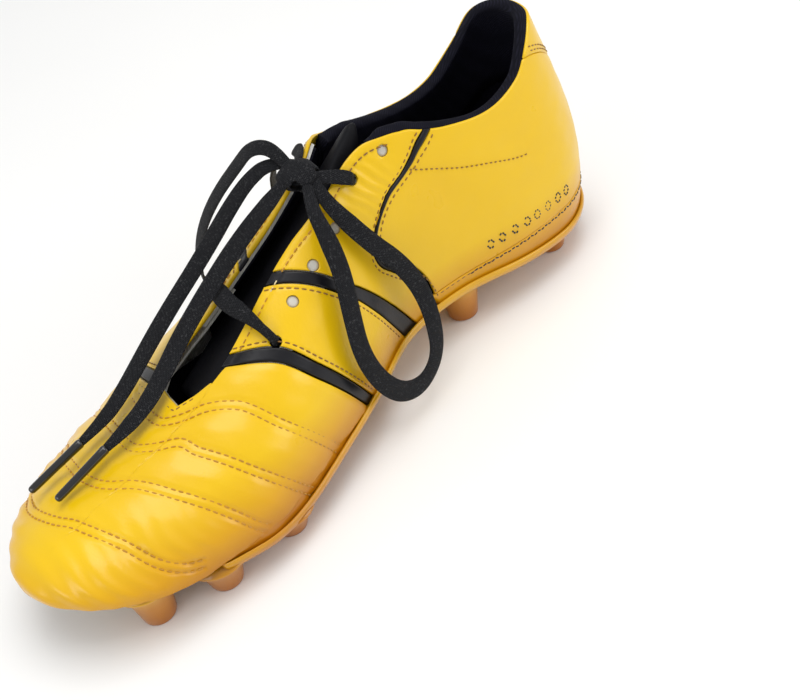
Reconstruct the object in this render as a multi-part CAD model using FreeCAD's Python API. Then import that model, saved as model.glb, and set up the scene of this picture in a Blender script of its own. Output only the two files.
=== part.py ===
"""Moulded-stud soccer cleat, right foot, built as separate pieces.

Modelling frame, mm: x runs from the back of the heel to the toe, +y is the medial side, z = 0 is the
ground under the studs. Before export everything moves by (-CENTRE_X, -CENTRE_Y, 0), which puts the
origin on the ground in the middle of the shoe's length and width (lace left out).
The upper follows one surface, skin(s, w): s is the distance walked along the shoe from the heel's
centre line to the toe tip, w runs from -1 at the medial sole edge over 0 on the ridge to +1 at the
lateral sole edge. Every layer of the upper is a patch of that surface at its own depth.
"""
import FreeCAD
import Part
import math
import os

Vec = FreeCAD.Vector

# ---- driving dimensions, mm ----
LENGTH = 285.0            # heel to toe of the upper, a men's EU 42
CENTRE_X = 143.6          # middle of the whole shoe's length
CENTRE_Y = -3.6           # middle of the whole shoe's width

# half widths of the sole edge against x
MEDIAL_EDGE = [(0, 30.0), (36, 31.5), (60, 30.0), (90, 23.8), (118, 22.5), (145, 31.5), (170, 38.5),
               (195, 45.0), (212, 46.7), (228, 44.8), (245, 42.4)]
LATERAL_EDGE = [(0, 31.0), (36, 30.5), (60, 34.0), (90, 36.5), (118, 40.5), (145, 46.5), (170, 51.0),
                (190, 53.8), (205, 53.0), (220, 47.0)]
# height of the sole edge and of the ridge line against x
EDGE_Z = [(0, 17.3), (40, 17.2), (90, 22.5), (130, 20.2), (180, 14.8), (216, 14.0), (285, 28.5)]
RIDGE_Z = [(0, 152), (60, 138), (100, 111), (120, 98), (140, 86.9), (160, 75.3), (182, 62.9), (204, 54.4),
           (224, 48.6)]
RIDGE_Y = [(0, 0), (90, 0), (150, 5.0), (204, 5.7), (285, 5)]
# collar line: height against x on each side
MEDIAL_COLLAR = [(0, 103.4), (12, 103.2), (24, 98.0), (38, 89.5), (55, 86.0), (75, 89.4), (92, 95.2),
                 (108, 97.2)]
LATERAL_COLLAR = [(0, 103.4), (12, 98.8), (24, 86.5), (38, 77.5), (55, 75.5), (75, 79.8), (92, 86.0),
                  (108, 91.0)]
# top edge ahead of the collar, along the eyestays: |w| against x
MEDIAL_TOP = [(92, 0.330), (100, 0.295), (107, 0.255), (114, 0.236), (122, 0.226), (130, 0.204), (140, 0.150),
              (147, 0.110), (158, 0.085), (171, 0.087), (187, 0.100)]
LATERAL_TOP = [(92, 0.440), (100, 0.400), (108, 0.310), (115, 0.215), (122, 0.160), (131, 0.138), (145, 0.142),
               (158, 0.172), (171, 0.199), (187, 0.218), (200, 0.202), (208, 0.155)]
COLLAR_END = (84, 96)     # the collar line gives way to the eyestay's edge between these x
# throat opening in the vamp: y against x on both sides, and its front end
MEDIAL_THROAT = [(150, 9.0), (160, 9.0), (185, 11.2), (200, 11.0)]
LATERAL_THROAT = [(150, -7.5), (160, -8.2), (185, -12.5), (200, -11.5)]
THROAT_BASE = [(197, 12.0), (203, 10.2), (209, 6.8), (207.5, -1.0), (205.5, -8.0), (200, -12.0)]

HEEL_R = 36.0             # plan radius of the heel
HEEL_ARC = HEEL_R * math.pi / 2
BALL_X = 204.0            # where the toe box starts
S_BALL = HEEL_ARC + BALL_X - HEEL_R
TOE_ARC = 112.0
S_END = S_BALL + TOE_ARC
FAN = 1.12                # how far the sections fan out over the ball
FAN_MEDIAL = 8.0
FAN_LATERAL = -8.0
TOE_FAN_MEDIAL = 20.0
TOE_FAN_LATERAL = 14.0
TOE_TIP = (LENGTH, -0.8, 28.5)
TOE_RISE = (41.0, -12.6)   # ridge handle at the ball: length and drop
TOE_DROP = (2.0, 15.0)    # ridge handle above the tip: reach and height
SIDE_PULL = 0.564         # fullness of the side wall
TOP_PULL = 0.462          # fullness of the top
ANKLE_TOP_Y = 12.9
HEEL_BACK = [(15, 4.0), (40, 0.0), (60, 1.5), (80, 6.0), (95, 10.0), (140, 22.0)]

# layers of the upper: depth of the outer and the inner face under the skin
SHELL = (0.0, 1.4)
STIFFENER = (1.7, 2.9)
LINING = (3.2, 4.2)
COLLAR_PAD = (1.7, 4.7)
COLLAR_SKIN = (4.9, 5.7)
GAP = 0.15                # half of the gap between two neighbouring panels

# panel borders: x against u, where u is 0 at the sole edge and 1 at the top edge; the front stripe
# differs between the medial side (1) and the lateral side (-1)
FRONT_STRIPE_FRONT = {1: [(0, 149.5), (0.38, 165.0), (0.67, 175.0), (1, 190.5)],
                      -1: [(0, 201.5), (0.35, 207.5), (0.7, 210.5), (1, 209.5)]}
FRONT_STRIPE_REAR = {1: [(0, 145.5), (0.41, 161.7), (0.7, 171.3), (1, 185.5)],
                     -1: [(0, 197.0), (0.35, 202.5), (0.7, 205.5), (1, 204.5)]}
REAR_STRIPE_FRONT = [(0, 119.5), (0.38, 135.2), (0.55, 143.7), (0.8, 154.5), (1, 162.5)]
REAR_STRIPE_REAR = [(0, 112.5), (0.35, 128.7), (0.55, 138.8), (0.8, 150.0), (1, 157.5)]
PIPING = [(0, 102.5), (0.1, 104.0), (0.2, 108.0), (0.3, 114.5), (0.4, 119.5), (0.5, 119.0),
          (0.62, 108.5), (0.78, 94.5), (1, 82.5)]
PIPING_HALF = 1.6
FOXING_TOP_Z = 28.2
TAB_LOW_Z = 74.0
TAB_REACH = {1: 30.0, -1: 21.0}   # x where the heel tab runs out under the collar, on each side

EYELET_R = 2.2
EYELETS = [(101.0, 0.91), (116.0, 0.87), (131.0, 0.785), (145.5, 0.75), (158.5, 0.745), (171.0, 0.73),
           (186.5, 0.80)]  # x and u of the seven holes in each eyestay
LACED = (1, 5)            # the second and the sixth pair carry the lace

BOARD_INSET = 5.2
BOARD_T = 2.0
SOCK_INSET = 8.2
SOCK_T = 3.6
PLATE_OUTSET = 1.6
PLATE_T = 3.4
PLATE_TOP = -0.3          # the plate's top under the sole edge
STUD_TIP_R = 6.3
STUD_BASE_R = 8.6
STUD_FLARE_R = 11.0
STUD_EDGE = 0.8
STUDS = [(255, 26), (231, 35), (201, 36.5), (248, -21), (222, -37), (193, -41.5), (82, 13.5), (80, -20),
         (30, 17), (30, -17)]

TONGUE_TOP_X = 103.0
TONGUE_BASE_X = 205.0
TONGUE_HALF = 0.40        # half width of the tongue, in w
TONGUE_MIDDLE = -0.03     # its centre line, in w
TONGUE_MID_DEPTH = 5.2    # how far its middle and its edges lie under the skin, past the lace
TONGUE_EDGE_DEPTH = 9.2
TONGUE_LAYERS = [("tongue_cover", 0.0, 0.8), ("tongue_foam", 1.1, 2.5), ("tongue_lining", 3.1, 3.9)]

LACE_R = 1.8              # a flat lace 8 mm wide and 1.3 mm thick has the section of this round one
LACE_OVER = 3.2           # how far the lace's middle lies above the skin
LACE_UNDER = 6.5          # and under the eyestays
AGLET_R = 1.7
AGLET_L = 24.0
KNOT_CENTRE = (130.5, 1.5, 97.0)
KNOT_RADII = (8.5, 9.5, 5.0)

MEDIAL_LOOP = [(133, 9, 97), (138, 15, 93), (140, 22, 84.5), (142.5, 28.5, 73), (147.5, 34, 60.5),
               (151.5, 38.5, 46), (149, 41, 31), (141.5, 41.5, 18.5), (130, 40.5, 13.5), (119, 39, 19.5),
               (114.5, 35.5, 32.5), (113.5, 31, 46), (118, 28.5, 59.5), (125, 25.5, 72), (129.5, 20, 83.5),
               (131, 13, 92), (129, 6, 98)]
LATERAL_LOOP = [(130.5, -1, 97.5), (129, -10, 103.5), (131.5, -21, 103), (136, -30, 93), (141, -39.5, 82),
                (146, -47.5, 70), (150, -53.5, 57), (152, -57.5, 43), (149, -60, 29), (141, -61, 19),
                (130, -60.5, 15), (119, -58.5, 21), (114, -54.5, 33), (113, -49, 46.5), (115, -43.5, 60),
                (118, -37, 72.5), (121.5, -28.5, 84), (125, -18, 93), (128, -8, 97.5)]
OUTER_END = [(128, -5, 98.5), (132, -12, 99), (139, -18, 94), (148, -21.5, 86.5), (158, -23, 79),
             (169, -24, 72), (181, -24.5, 65.5), (193, -23.5, 60), (205, -20, 56.5), (217, -15.5, 54),
             (229, -12, 52), (240, -12, 50.5)]
OUTER_AGLET_TO = (262.5, -15.5, 44.2)
INNER_END = [(134, 2, 99.5), (142, 0.5, 95.5), (151.5, -2.5, 89.5), (161.5, -5.5, 82.5), (172, -7, 75.8),
             (183, -7.5, 69.5), (194, -6.5, 64), (205, -3.5, 59.5), (216, 0, 56.5), (227, 1.5, 54.5),
             (237, 0.5, 52.3)]
INNER_AGLET_TO = (259.5, -1.5, 46.2)

SHAPES = {}


# ---- curves and the skin ----
def curve(points, x):
    """A smooth curve through hand-set points, held level beyond both ends."""
    last = len(points) - 1
    if x <= points[0][0]:
        return points[0][1]
    if x >= points[last][0]:
        return points[last][1]
    i = 0
    while x > points[i + 1][0]:
        i += 1

    def slope(k):
        a = points[max(k - 1, 0)]
        b = points[min(k + 1, last)]
        return (b[1] - a[1]) / (b[0] - a[0])

    (x0, y0), (x1, y1) = points[i], points[i + 1]
    h = x1 - x0
    t = (x - x0) / h
    t2 = t * t
    t3 = t2 * t
    return ((2 * t3 - 3 * t2 + 1) * y0 + (t3 - 2 * t2 + t) * slope(i) * h
            + (3 * t2 - 2 * t3) * y1 + (t3 - t2) * slope(i + 1) * h)


def smooth(a, b, x):
    t = min(1.0, max(0.0, (x - a) / (b - a)))
    return t * t * (3 - 2 * t)


def mix(a, b, t):
    return tuple(p + (q - p) * t for p, q in zip(a, b))


def bezier(p0, p1, p2, p3, t):
    u = 1 - t
    return tuple(u * u * u * a + 3 * u * u * t * b + 3 * u * t * t * c + t * t * t * d
                 for a, b, c, d in zip(p0, p1, p2, p3))


def arc_at(x):
    """Distance s at which a section stands at x, ahead of the heel's curve."""
    if x < HEEL_R:
        return HEEL_R * math.acos(1 - x / HEEL_R)
    return HEEL_ARC + x - HEEL_R


def station(s):
    """Ridge point, medial and lateral sole edge, width factor and x of the section at s."""
    fan = FAN * smooth(100, BALL_X + 20, min(BALL_X, HEEL_R + s - HEEL_ARC))
    if s < HEEL_ARC:
        x = HEEL_R * (1 - math.cos(s / HEEL_R))
        f = math.sin(s / HEEL_R)
        z = curve(EDGE_Z, x)
        medial = (x, MEDIAL_EDGE[1][1] * f, z)
        lateral = (x, -LATERAL_EDGE[1][1] * f, z)
        return (x, 0.0, curve(RIDGE_Z, x)), medial, lateral, f, x
    if s < S_BALL:
        x = HEEL_R + s - HEEL_ARC
        ridge = (x, curve(RIDGE_Y, x), curve(RIDGE_Z, x))
        xm = x + FAN_MEDIAL * fan
        xl = x + FAN_LATERAL * fan
    else:
        t = (s - S_BALL) / TOE_ARC
        y0 = curve(RIDGE_Y, BALL_X)
        z0 = curve(RIDGE_Z, BALL_X)
        ridge = bezier((BALL_X, y0, z0), (BALL_X + TOE_RISE[0], y0, z0 + TOE_RISE[1]),
                       (TOE_TIP[0] + TOE_DROP[0], TOE_TIP[1], TOE_TIP[2] + TOE_DROP[1]), TOE_TIP, t)
        x = ridge[0]
        spread = 1 - (1 - t) ** 2.2
        xm = BALL_X + FAN_MEDIAL * fan + TOE_FAN_MEDIAL * spread
        xl = BALL_X + FAN_LATERAL * fan + TOE_FAN_LATERAL * spread
    medial = (xm, curve(MEDIAL_EDGE, xm), curve(EDGE_Z, xm))
    lateral = (xl, -curve(LATERAL_EDGE, xl), curve(EDGE_Z, xl))
    return ridge, medial, lateral, 1.0, x


def raw_skin(s, w, with_ankle=True):
    ridge, medial, lateral, f, x = station(s)
    side = 1.0 if w < 0 else -1.0
    edge = medial if w < 0 else lateral
    width = medial[1] - lateral[1]
    middle = mix(medial, lateral, (medial[1] - ridge[1]) / width if width > 1e-6 else 0.5)
    rise = tuple(a - b for a, b in zip(ridge, middle))
    reach = tuple(a - b for a, b in zip(edge, middle))
    bulge = side * 2.5 * f * (1 - smooth(S_BALL, S_END, s))
    p1 = (edge[0] + SIDE_PULL * rise[0], edge[1] + SIDE_PULL * rise[1] + bulge,
          edge[2] + SIDE_PULL * rise[2])
    p2 = tuple(a + TOP_PULL * b for a, b in zip(ridge, reach))
    p3 = ridge
    ankle = 1 - smooth(45, 122, x) if with_ankle and s < S_BALL else 0.0
    if ankle > 0:
        high = ridge[2] - edge[2]
        p1 = mix(p1, (x, edge[1] + side * 6.0 * f, edge[2] + 0.26 * high), ankle)
        p2 = mix(p2, (x, side * 22.0 * f, edge[2] + 0.55 * high), ankle)
        p3 = mix(p3, (x, side * ANKLE_TOP_Y * f, ridge[2]), ankle)
    p = bezier(edge, p1, p2, p3, 1 - abs(w))
    if x < 70 and s < S_BALL:
        p = (p[0] + curve(HEEL_BACK, p[2]) * (1 - x / 70) ** 2, p[1], p[2])
    return p


def skin(s, w, with_ankle=True):
    """The upper's outer surface. Over the toe it is eased onto the sole's edge height."""
    p = raw_skin(s, w, with_ankle)
    if s <= S_BALL:
        return p
    rim = raw_skin(S_END, w)
    ease = ((s - S_BALL) / TOE_ARC) ** 3
    return (p[0], p[1], p[2] + ease * (curve(EDGE_Z, rim[0]) - rim[2]))


def under(s, w, depth, with_ankle=True):
    """The point at a depth under the skin, along the surface's normal."""
    if depth == 0:
        return Vec(*skin(s, w, with_ankle))
    s = max(s, 0.02)
    ds = 0.4
    dw = 0.008
    along = Vec(*skin(min(s + ds, S_END), w, with_ankle)) - Vec(*skin(max(s - ds, 0.0), w, with_ankle))
    w_low = max(w - dw, -1.0) if w <= 0 else max(w - dw, 1e-4)
    w_high = min(w + dw, -1e-4) if w < 0 else min(w + dw, 1.0)
    across = Vec(*skin(s, w_high, with_ankle)) - Vec(*skin(s, w_low, with_ankle))
    p = Vec(*skin(s, w, with_ankle))
    normal = along.cross(across)
    normal.normalize()
    if normal.dot(p - Vec(min(max(p.x, 40), 240), 3, 30)) < 0:
        normal = -normal
    return p - normal * depth


def search(test):
    """Largest |w| in 0..1 for which the test still holds, by halving."""
    low = 0.0
    high = 1.0
    for _ in range(22):
        mid = (low + high) / 2
        if test(mid):
            low = mid
        else:
            high = mid
    return (low + high) / 2


def top_w(s, side):
    """|w| of the top edge: the collar behind, the throat's edge ahead."""
    x = station(s)[4]
    eyestay = curve(MEDIAL_TOP if side > 0 else LATERAL_TOP, x)
    if x > COLLAR_END[1]:
        return eyestay
    z = curve(MEDIAL_COLLAR if side > 0 else LATERAL_COLLAR, x)
    at_collar = search(lambda m: skin(s, -side * m)[2] > z)
    return at_collar + (eyestay - at_collar) * smooth(COLLAR_END[0], COLLAR_END[1], x)


TOP_CACHE = {}


def surface_w(a, u):
    """w at the signed distance a (medial +) and the height fraction u."""
    side = 1 if a >= 0 else -1
    key = (side, round(abs(a), 3))
    if key not in TOP_CACHE:
        TOP_CACHE[key] = top_w(abs(a), side)
    return -side * (1 - u * (1 - TOP_CACHE[key]))


def u_at_z(z_of_x):
    """Height fraction of a level line z(x), as a function of the signed distance."""
    def find(a):
        s = abs(a)
        z = z_of_x(station(s)[4])
        low = 0.0
        high = 1.0
        for _ in range(18):
            mid = (low + high) / 2
            if skin(s, surface_w(a, mid))[2] < z:
                low = mid
            else:
                high = mid
        return (low + high) / 2
    return find


def tab_u(a):
    """Height fraction of the heel tab's lower edge: it climbs to the collar at the tab's ends."""
    side = 1 if a >= 0 else -1
    x = station(abs(a))[4]
    if x >= TAB_REACH[side]:
        return 1.0
    middle = u_at_z(lambda x: TAB_LOW_Z)(0.0)
    return middle + (1 - middle) * (x / TAB_REACH[side]) ** 0.8


# ---- solids ----
def thick_patch(outer, inner):
    """A closed solid between two grids of points."""
    faces = []
    curves = []
    for grid in (outer, inner):
        surface = Part.BSplineSurface()
        surface.interpolate(grid)
        faces.append(surface.toShape())
        u0, u1, v0, v1 = surface.bounds()
        curves.append([surface.uIso(u0), surface.vIso(v1), surface.uIso(u1), surface.vIso(v0)])
    for a, b in zip(*curves):
        faces.append(Part.makeLoft([Part.Wire(a.toShape()), Part.Wire(b.toShape())], False, True).Faces[0])
    shell = Part.Shell(faces)
    shell.sewShape()
    solid = Part.Solid(shell)
    if solid.Volume < 0:
        solid.reverse()
    solid.fix(1e-4, 1e-5, 1e-3)
    return solid


def side_panel(rear, front, low, high, layer, side, n_along=9, n_up=17):
    """A panel between two borders x(u) and two level lines u(a), on one side of the shoe."""
    def grid(depth):
        rows = []
        for i in range(n_along):
            v = i / (n_along - 1)
            row = []
            for j in range(n_up):
                t = j / (n_up - 1)
                u = t
                for _ in range(5):
                    s = arc_at(rear(u)) * (1 - v) + arc_at(front(u)) * v
                    a = side * s
                    u = low(a) + (high(a) - low(a)) * t
                row.append(under(s, surface_w(a, u), depth))
            rows.append(row)
        return rows
    return thick_patch(grid(layer[0]), grid(layer[1]))


def wrap_panel(reach, low, high, layer, n_along=25, n_up=8):
    """A panel that wraps the heel, out to x = reach(u, side) on each side."""
    def grid(depth):
        rows = []
        for i in range(n_along):
            v = 2 * i / (n_along - 1) - 1
            row = []
            for j in range(n_up):
                t = j / (n_up - 1)
                u = t
                for _ in range(5):
                    a = v * arc_at(reach(u, 1 if v > 0 else -1))
                    u = low(a) + (high(a) - low(a)) * t
                row.append(under(abs(a), surface_w(a, u), depth))
            rows.append(row)
        return rows
    return thick_patch(grid(layer[0]), grid(layer[1]))


def toe_panel(rear, front_s, layer, n_along=15, n_across=29):
    """A panel over the whole forefoot, from the border x(w) to the distance front_s."""
    def grid(depth):
        rows = []
        for i in range(n_along):
            v = i / (n_along - 1)
            row = []
            for j in range(n_across):
                w = 2 * j / (n_across - 1) - 1
                s = arc_at(rear(w)) * (1 - v) + front_s * v
                row.append(under(s, w if w else -1e-4, depth))
            rows.append(row)
        return rows
    return thick_patch(grid(layer[0]), grid(layer[1]))


def level(value):
    return lambda a: value


def border(points, shift=0.0):
    return lambda u: curve(points, u) + shift


def eyelet_point(index, side, depth):
    x, u = EYELETS[index]
    s = arc_at(x)
    return under(s, surface_w(side * s, u), depth)


def eyelet_drills(side):
    drills = []
    for k in range(len(EYELETS)):
        outside = eyelet_point(k, side, -1.5)
        inside = eyelet_point(k, side, 5.0)
        drills.append(Part.makeCylinder(EYELET_R, (inside - outside).Length, outside, inside - outside))
    return Part.makeCompound(drills)


def throat_prism():
    """The vertical prism of the throat opening, for cutting the vamp's layers."""
    xs = (150, 165, 175, 188)
    outline = [Vec(x, curve(MEDIAL_THROAT, x), 30) for x in xs]
    outline += [Vec(x, y, 30) for x, y in THROAT_BASE]
    outline += [Vec(x, curve(LATERAL_THROAT, x), 30) for x in reversed(xs)]
    return Part.Face(Part.makePolygon(outline + outline[:1])).extrude(Vec(0, 0, 80))


# ---- bottom ----
def sole_outline(outset):
    """Plan outline of the sole edge, moved outwards by outset, as a closed smooth curve."""
    edge = [skin(S_BALL * i / 16, -1) for i in range(17)]
    edge += [skin(S_BALL + TOE_ARC * i / 3, -1) for i in (1, 2)]
    edge += [skin(S_END, -1 + 2 * i / 14) for i in range(15)]
    edge += [skin(S_BALL + TOE_ARC * i / 3, 1) for i in (2, 1)]
    edge += [skin(S_BALL * i / 16, 1) for i in range(16, 0, -1)]
    count = len(edge)
    points = []
    for i in range(count):
        a = edge[i - 1]
        b = edge[(i + 1) % count]
        tangent = Vec(b[0] - a[0], b[1] - a[1], 0)
        tangent.normalize()
        points.append(Vec(edge[i][0] - tangent.y * outset, edge[i][1] + tangent.x * outset, 0))
    spline = Part.BSplineCurve()
    spline.interpolate(points, PeriodicFlag=True)
    return spline.toShape()


def slab(low, high, outset):
    """A plate that follows the sole edge's height between two offsets, with the sole's outline."""
    xs = [-12 + 312 * i / 16 for i in range(17)]

    def line(offset):
        spline = Part.BSplineCurve()
        spline.interpolate([Vec(x, -80, curve(EDGE_Z, x) + offset) for x in xs])
        return spline.toShape()

    bottom = line(low)
    top = line(high)
    ends = [Part.makeLine(bottom.Vertexes[k].Point, top.Vertexes[k].Point) for k in (0, -1)]
    profile = Part.Face(Part.Wire(Part.__sortEdges__([bottom, ends[1], top, ends[0]])))
    body = profile.extrude(Vec(0, 160, 0))
    prism = Part.Face(Part.Wire(sole_outline(outset))).extrude(Vec(0, 0, 160))
    prism.translate(Vec(0, 0, -80))
    return body.common(prism)


def stud(x, y):
    """A tapered stud with a flared root, turned about its own axis."""
    root = curve(EDGE_Z, x) - PLATE_T
    profile = [(0, 0), (STUD_TIP_R - STUD_EDGE, 0), (STUD_TIP_R, STUD_EDGE), (STUD_BASE_R, root - 3),
               (STUD_FLARE_R, root + 0.8), (STUD_FLARE_R, root + 1.4), (0, root + 1.4)]
    points = [Vec(r, 0, z) for r, z in profile]
    face = Part.Face(Part.makePolygon(points + points[:1]))
    turned = face.revolve(Vec(0, 0, 0), Vec(0, 0, 1), 360)
    turned.translate(Vec(x, y, 0))
    return turned


def make_bottom():
    plate = slab(-PLATE_T, PLATE_TOP, PLATE_OUTSET)
    below = slab(-60, PLATE_TOP - 0.2, PLATE_OUTSET - 0.2)
    studs = [stud(x, y).common(below) for x, y in STUDS]
    SHAPES["outsole"] = plate.multiFuse(studs).removeSplitter()
    SHAPES["insole_board"] = slab(0.0, BOARD_T, -BOARD_INSET)
    SHAPES["sockliner"] = slab(BOARD_T + 0.2, BOARD_T + 0.2 + SOCK_T, -SOCK_INSET)


# ---- upper ----
def vamp_rear(w):
    """x of the vamp's rear border: along each front stripe, and inside the throat between them."""
    side = 1 if w <= 0 else -1
    ends = {key: curve(points, min(1.0, (1 - abs(w)) / 0.86)) for key, points in FRONT_STRIPE_FRONT.items()}
    if side > 0:
        return ends[1] + 0.2
    return ends[1] + (ends[-1] - ends[1]) * smooth(0.0, 0.16, w) + 0.2


def make_forefoot():
    throat = throat_prism()
    holes = [eyelet_drills(side) for side in (1, -1)]
    vamp = toe_panel(vamp_rear, S_END, SHELL, 17, 41)
    SHAPES["vamp"] = vamp.cut(throat).cut(holes[0]).cut(holes[1])
    pad = toe_panel(lambda w: 200.0, arc_at(BALL_X) + 42, STIFFENER)
    SHAPES["vamp_foam"] = pad.cut(throat)
    SHAPES["toe_puff"] = toe_panel(lambda w: 246.5, S_END, STIFFENER)
    lining = toe_panel(lambda w: 168.0, S_END, LINING, 19, 33)
    SHAPES["vamp_lining"] = lining.cut(throat).cut(holes[0]).cut(holes[1])


def make_side(name, side):
    drills = eyelet_drills(side)
    throat = throat_prism()
    bottom = level(0.006)
    top = level(1.0)
    stripe = side_panel(border(FRONT_STRIPE_REAR[side], GAP), border(FRONT_STRIPE_FRONT[side], -GAP),
                        bottom, top, SHELL, side, 4)
    SHAPES[name + "_front_stripe"] = stripe.cut(throat)
    mid = side_panel(border(REAR_STRIPE_FRONT, GAP), border(FRONT_STRIPE_REAR[side], -GAP), bottom, top,
                     SHELL, side, 11).cut(throat)
    SHAPES[name + "_mid_panel"] = mid.cut(drills)
    SHAPES[name + "_rear_stripe"] = side_panel(border(REAR_STRIPE_REAR, GAP),
                                               border(REAR_STRIPE_FRONT, -GAP), bottom, top, SHELL, side, 4)
    waist = side_panel(border(PIPING, PIPING_HALF + GAP), border(REAR_STRIPE_REAR, -GAP), bottom, top,
                       SHELL, side, 9, 17)
    SHAPES[name + "_waist_panel"] = waist.cut(drills)
    SHAPES[name + "_piping"] = side_panel(border(PIPING, -PIPING_HALF + GAP), border(PIPING, PIPING_HALF - GAP),
                                          bottom, top, SHELL, side, 4, 17)

    foxing_u = u_at_z(lambda x: FOXING_TOP_Z)

    def quarter_low(a):
        return foxing_u(a) + 0.004

    SHAPES[name + "_quarter"] = side_panel(lambda u: 0.02, border(PIPING, -PIPING_HALF - 3 * GAP), quarter_low,
                                           tab_u, SHELL, side, 19, 17)
    reinforcement = side_panel(lambda u: 112.0, lambda u: 183.5, level(0.6), level(0.985), STIFFENER, side, 13, 7)
    SHAPES[name + "_eyestay_backing"] = reinforcement.cut(drills)
    lining_top = u_at_z(lambda x: 62.0)

    def lining_high(a):
        x = station(abs(a))[4]
        blend = smooth(86, 116, x)
        return lining_top(a) * (1 - blend) + 0.97 * blend

    lining = side_panel(lambda u: 0.6, lambda u: 167.5, bottom, lining_high, LINING, side, 21, 11)
    SHAPES[name + "_quarter_lining"] = lining.cut(drills)


def make_heel():
    foxing_u = u_at_z(lambda x: FOXING_TOP_Z)
    counter_u = u_at_z(lambda x: 60.0)
    pad_u = u_at_z(lambda x: 66.0)
    SHAPES["heel_tab"] = wrap_panel(lambda u, side: TAB_REACH[side] - 1.5, lambda a: tab_u(a) + 0.006, level(1.0),
                                    SHELL, 17, 7)
    SHAPES["heel_foxing"] = wrap_panel(lambda u, side: curve(PIPING, u) - PIPING_HALF - GAP, level(0.0),
                                       lambda a: foxing_u(a) - 0.004, SHELL, 33, 5)
    SHAPES["heel_counter"] = wrap_panel(lambda u, side: 74.0, level(0.02), counter_u, STIFFENER, 29, 8)
    SHAPES["collar_foam"] = wrap_panel(lambda u, side: 84.0, pad_u, level(0.985), COLLAR_PAD, 33, 7)
    SHAPES["collar_lining"] = wrap_panel(lambda u, side: 84.0, pad_u, level(1.0), COLLAR_SKIN, 33, 7)


def make_tongue():
    def grid(depth):
        rows = []
        for i in range(15):
            x = TONGUE_TOP_X + (TONGUE_BASE_X - TONGUE_TOP_X) * i / 14
            s = arc_at(x)
            down = under(s, TONGUE_MIDDLE, 1.0, False) - under(s, TONGUE_MIDDLE, 0.0, False)
            row = []
            for j in range(15):
                t = 2 * j / 14 - 1
                w = TONGUE_MIDDLE + t * TONGUE_HALF * (1 - 0.35 * smooth(160, 210, x))
                w = w if abs(w) > 1e-4 else -1e-4
                lie = TONGUE_MID_DEPTH + (TONGUE_EDGE_DEPTH - TONGUE_MID_DEPTH) * smooth(0.15, 0.6, abs(t))
                row.append(under(s, w, lie, False) + down * depth)
            rows.append(row)
        return rows

    for node, outer, inner in TONGUE_LAYERS:
        SHAPES[node] = thick_patch(grid(outer), grid(inner))


# ---- lace ----
def path_wire(points, caps=None):
    """Straight runs joined by tangent arcs, as large as the runs allow."""
    caps = caps or {}
    points = [Vec(*p) for p in points]
    edges = []
    radii = []
    start = points[0]
    for k in range(1, len(points) - 1):
        before = points[k] - points[k - 1]
        after = points[k + 1] - points[k]
        turn = before.getAngle(after)
        cut = 0.45 * min(before.Length, after.Length)
        radius = cut / math.tan(turn / 2)
        if k in caps and radius > caps[k]:
            radius = caps[k]
            cut = radius * math.tan(turn / 2)
        radii.append(radius)
        before.normalize()
        after.normalize()
        a = points[k] - before * cut
        b = points[k] + after * cut
        towards = (a + b) * 0.5 - points[k]
        towards.normalize()
        centre = points[k] + towards * (radius / math.cos(turn / 2))
        middle = centre - towards * radius
        edges.append(Part.LineSegment(start, a).toShape())
        edges.append(Part.Arc(a, middle, b).toShape())
        start = b
    edges.append(Part.LineSegment(start, points[-1]).toShape())
    return Part.Wire(edges), radii


def tube(node, points, caps=None):
    wire, radii = path_wire(points, caps)
    first = wire.Edges[0]
    start = first.valueAt(first.FirstParameter)
    section = Part.Wire(Part.makeCircle(LACE_R, start, first.tangentAt(first.FirstParameter)))
    solid = wire.makePipeShell([section], True, True)
    want = math.pi * LACE_R ** 2 * wire.Length
    print("%-20s length %.1f  least radius %.1f  volume %.3f of section x length"
          % (node, wire.Length, min(radii), solid.Volume / want))
    SHAPES[node] = solid


def rod(node, start, towards):
    """An aglet: a plastic tip with a rounded end, from start towards a point."""
    axis = Vec(*towards) - Vec(*start)
    axis.normalize()
    profile = [(0, 0), (AGLET_R, 0), (AGLET_R, AGLET_L - 1.0), (AGLET_R - 0.9, AGLET_L), (0, AGLET_L)]
    points = [Vec(r, 0, z) for r, z in profile]
    turned = Part.Face(Part.makePolygon(points + points[:1])).revolve(Vec(0, 0, 0), Vec(0, 0, 1), 360)
    turned.Placement = FreeCAD.Placement(Vec(*start) + axis * 0.05, FreeCAD.Rotation(Vec(0, 0, 1), axis))
    SHAPES[node] = turned


def held_lace():
    """The lace from the knot into the second eyelets, down under the eyestays and across the sixth."""
    upper, lower = LACED
    points = []
    caps = {}

    def hole(index, side, inwards):
        depths = (-LACE_OVER, LACE_UNDER) if inwards else (LACE_UNDER, -LACE_OVER)
        for depth in depths:
            caps[len(points)] = 2.2
            points.append(eyelet_point(index, side, depth))

    def leg(side, downwards):
        rows = [(x, 0.775) for x in (127.0, 139.0, 151.0, 161.0)]
        for x, u in rows if downwards else reversed(rows):
            s = arc_at(x)
            points.append(under(s, surface_w(side * s, u), LACE_UNDER + 0.25 * (x % 2)))

    points.append(Vec(128.5, 6.5, 96.5))
    points.append(Vec(122.0, 11.0, 94.5))
    hole(upper, 1, True)
    leg(1, True)
    hole(lower, 1, False)
    points.append(Vec(175.0, 13.5, 70.5))
    points.append(Vec(175.5, 3.0, 72.5))
    points.append(Vec(172.0, -8.0, 71.5))
    hole(lower, -1, True)
    leg(-1, False)
    hole(upper, -1, False)
    points.append(Vec(119.5, -9.0, 97.5))
    points.append(Vec(125.5, -4.0, 98.0))
    tube("lace_held", points, caps)


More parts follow.
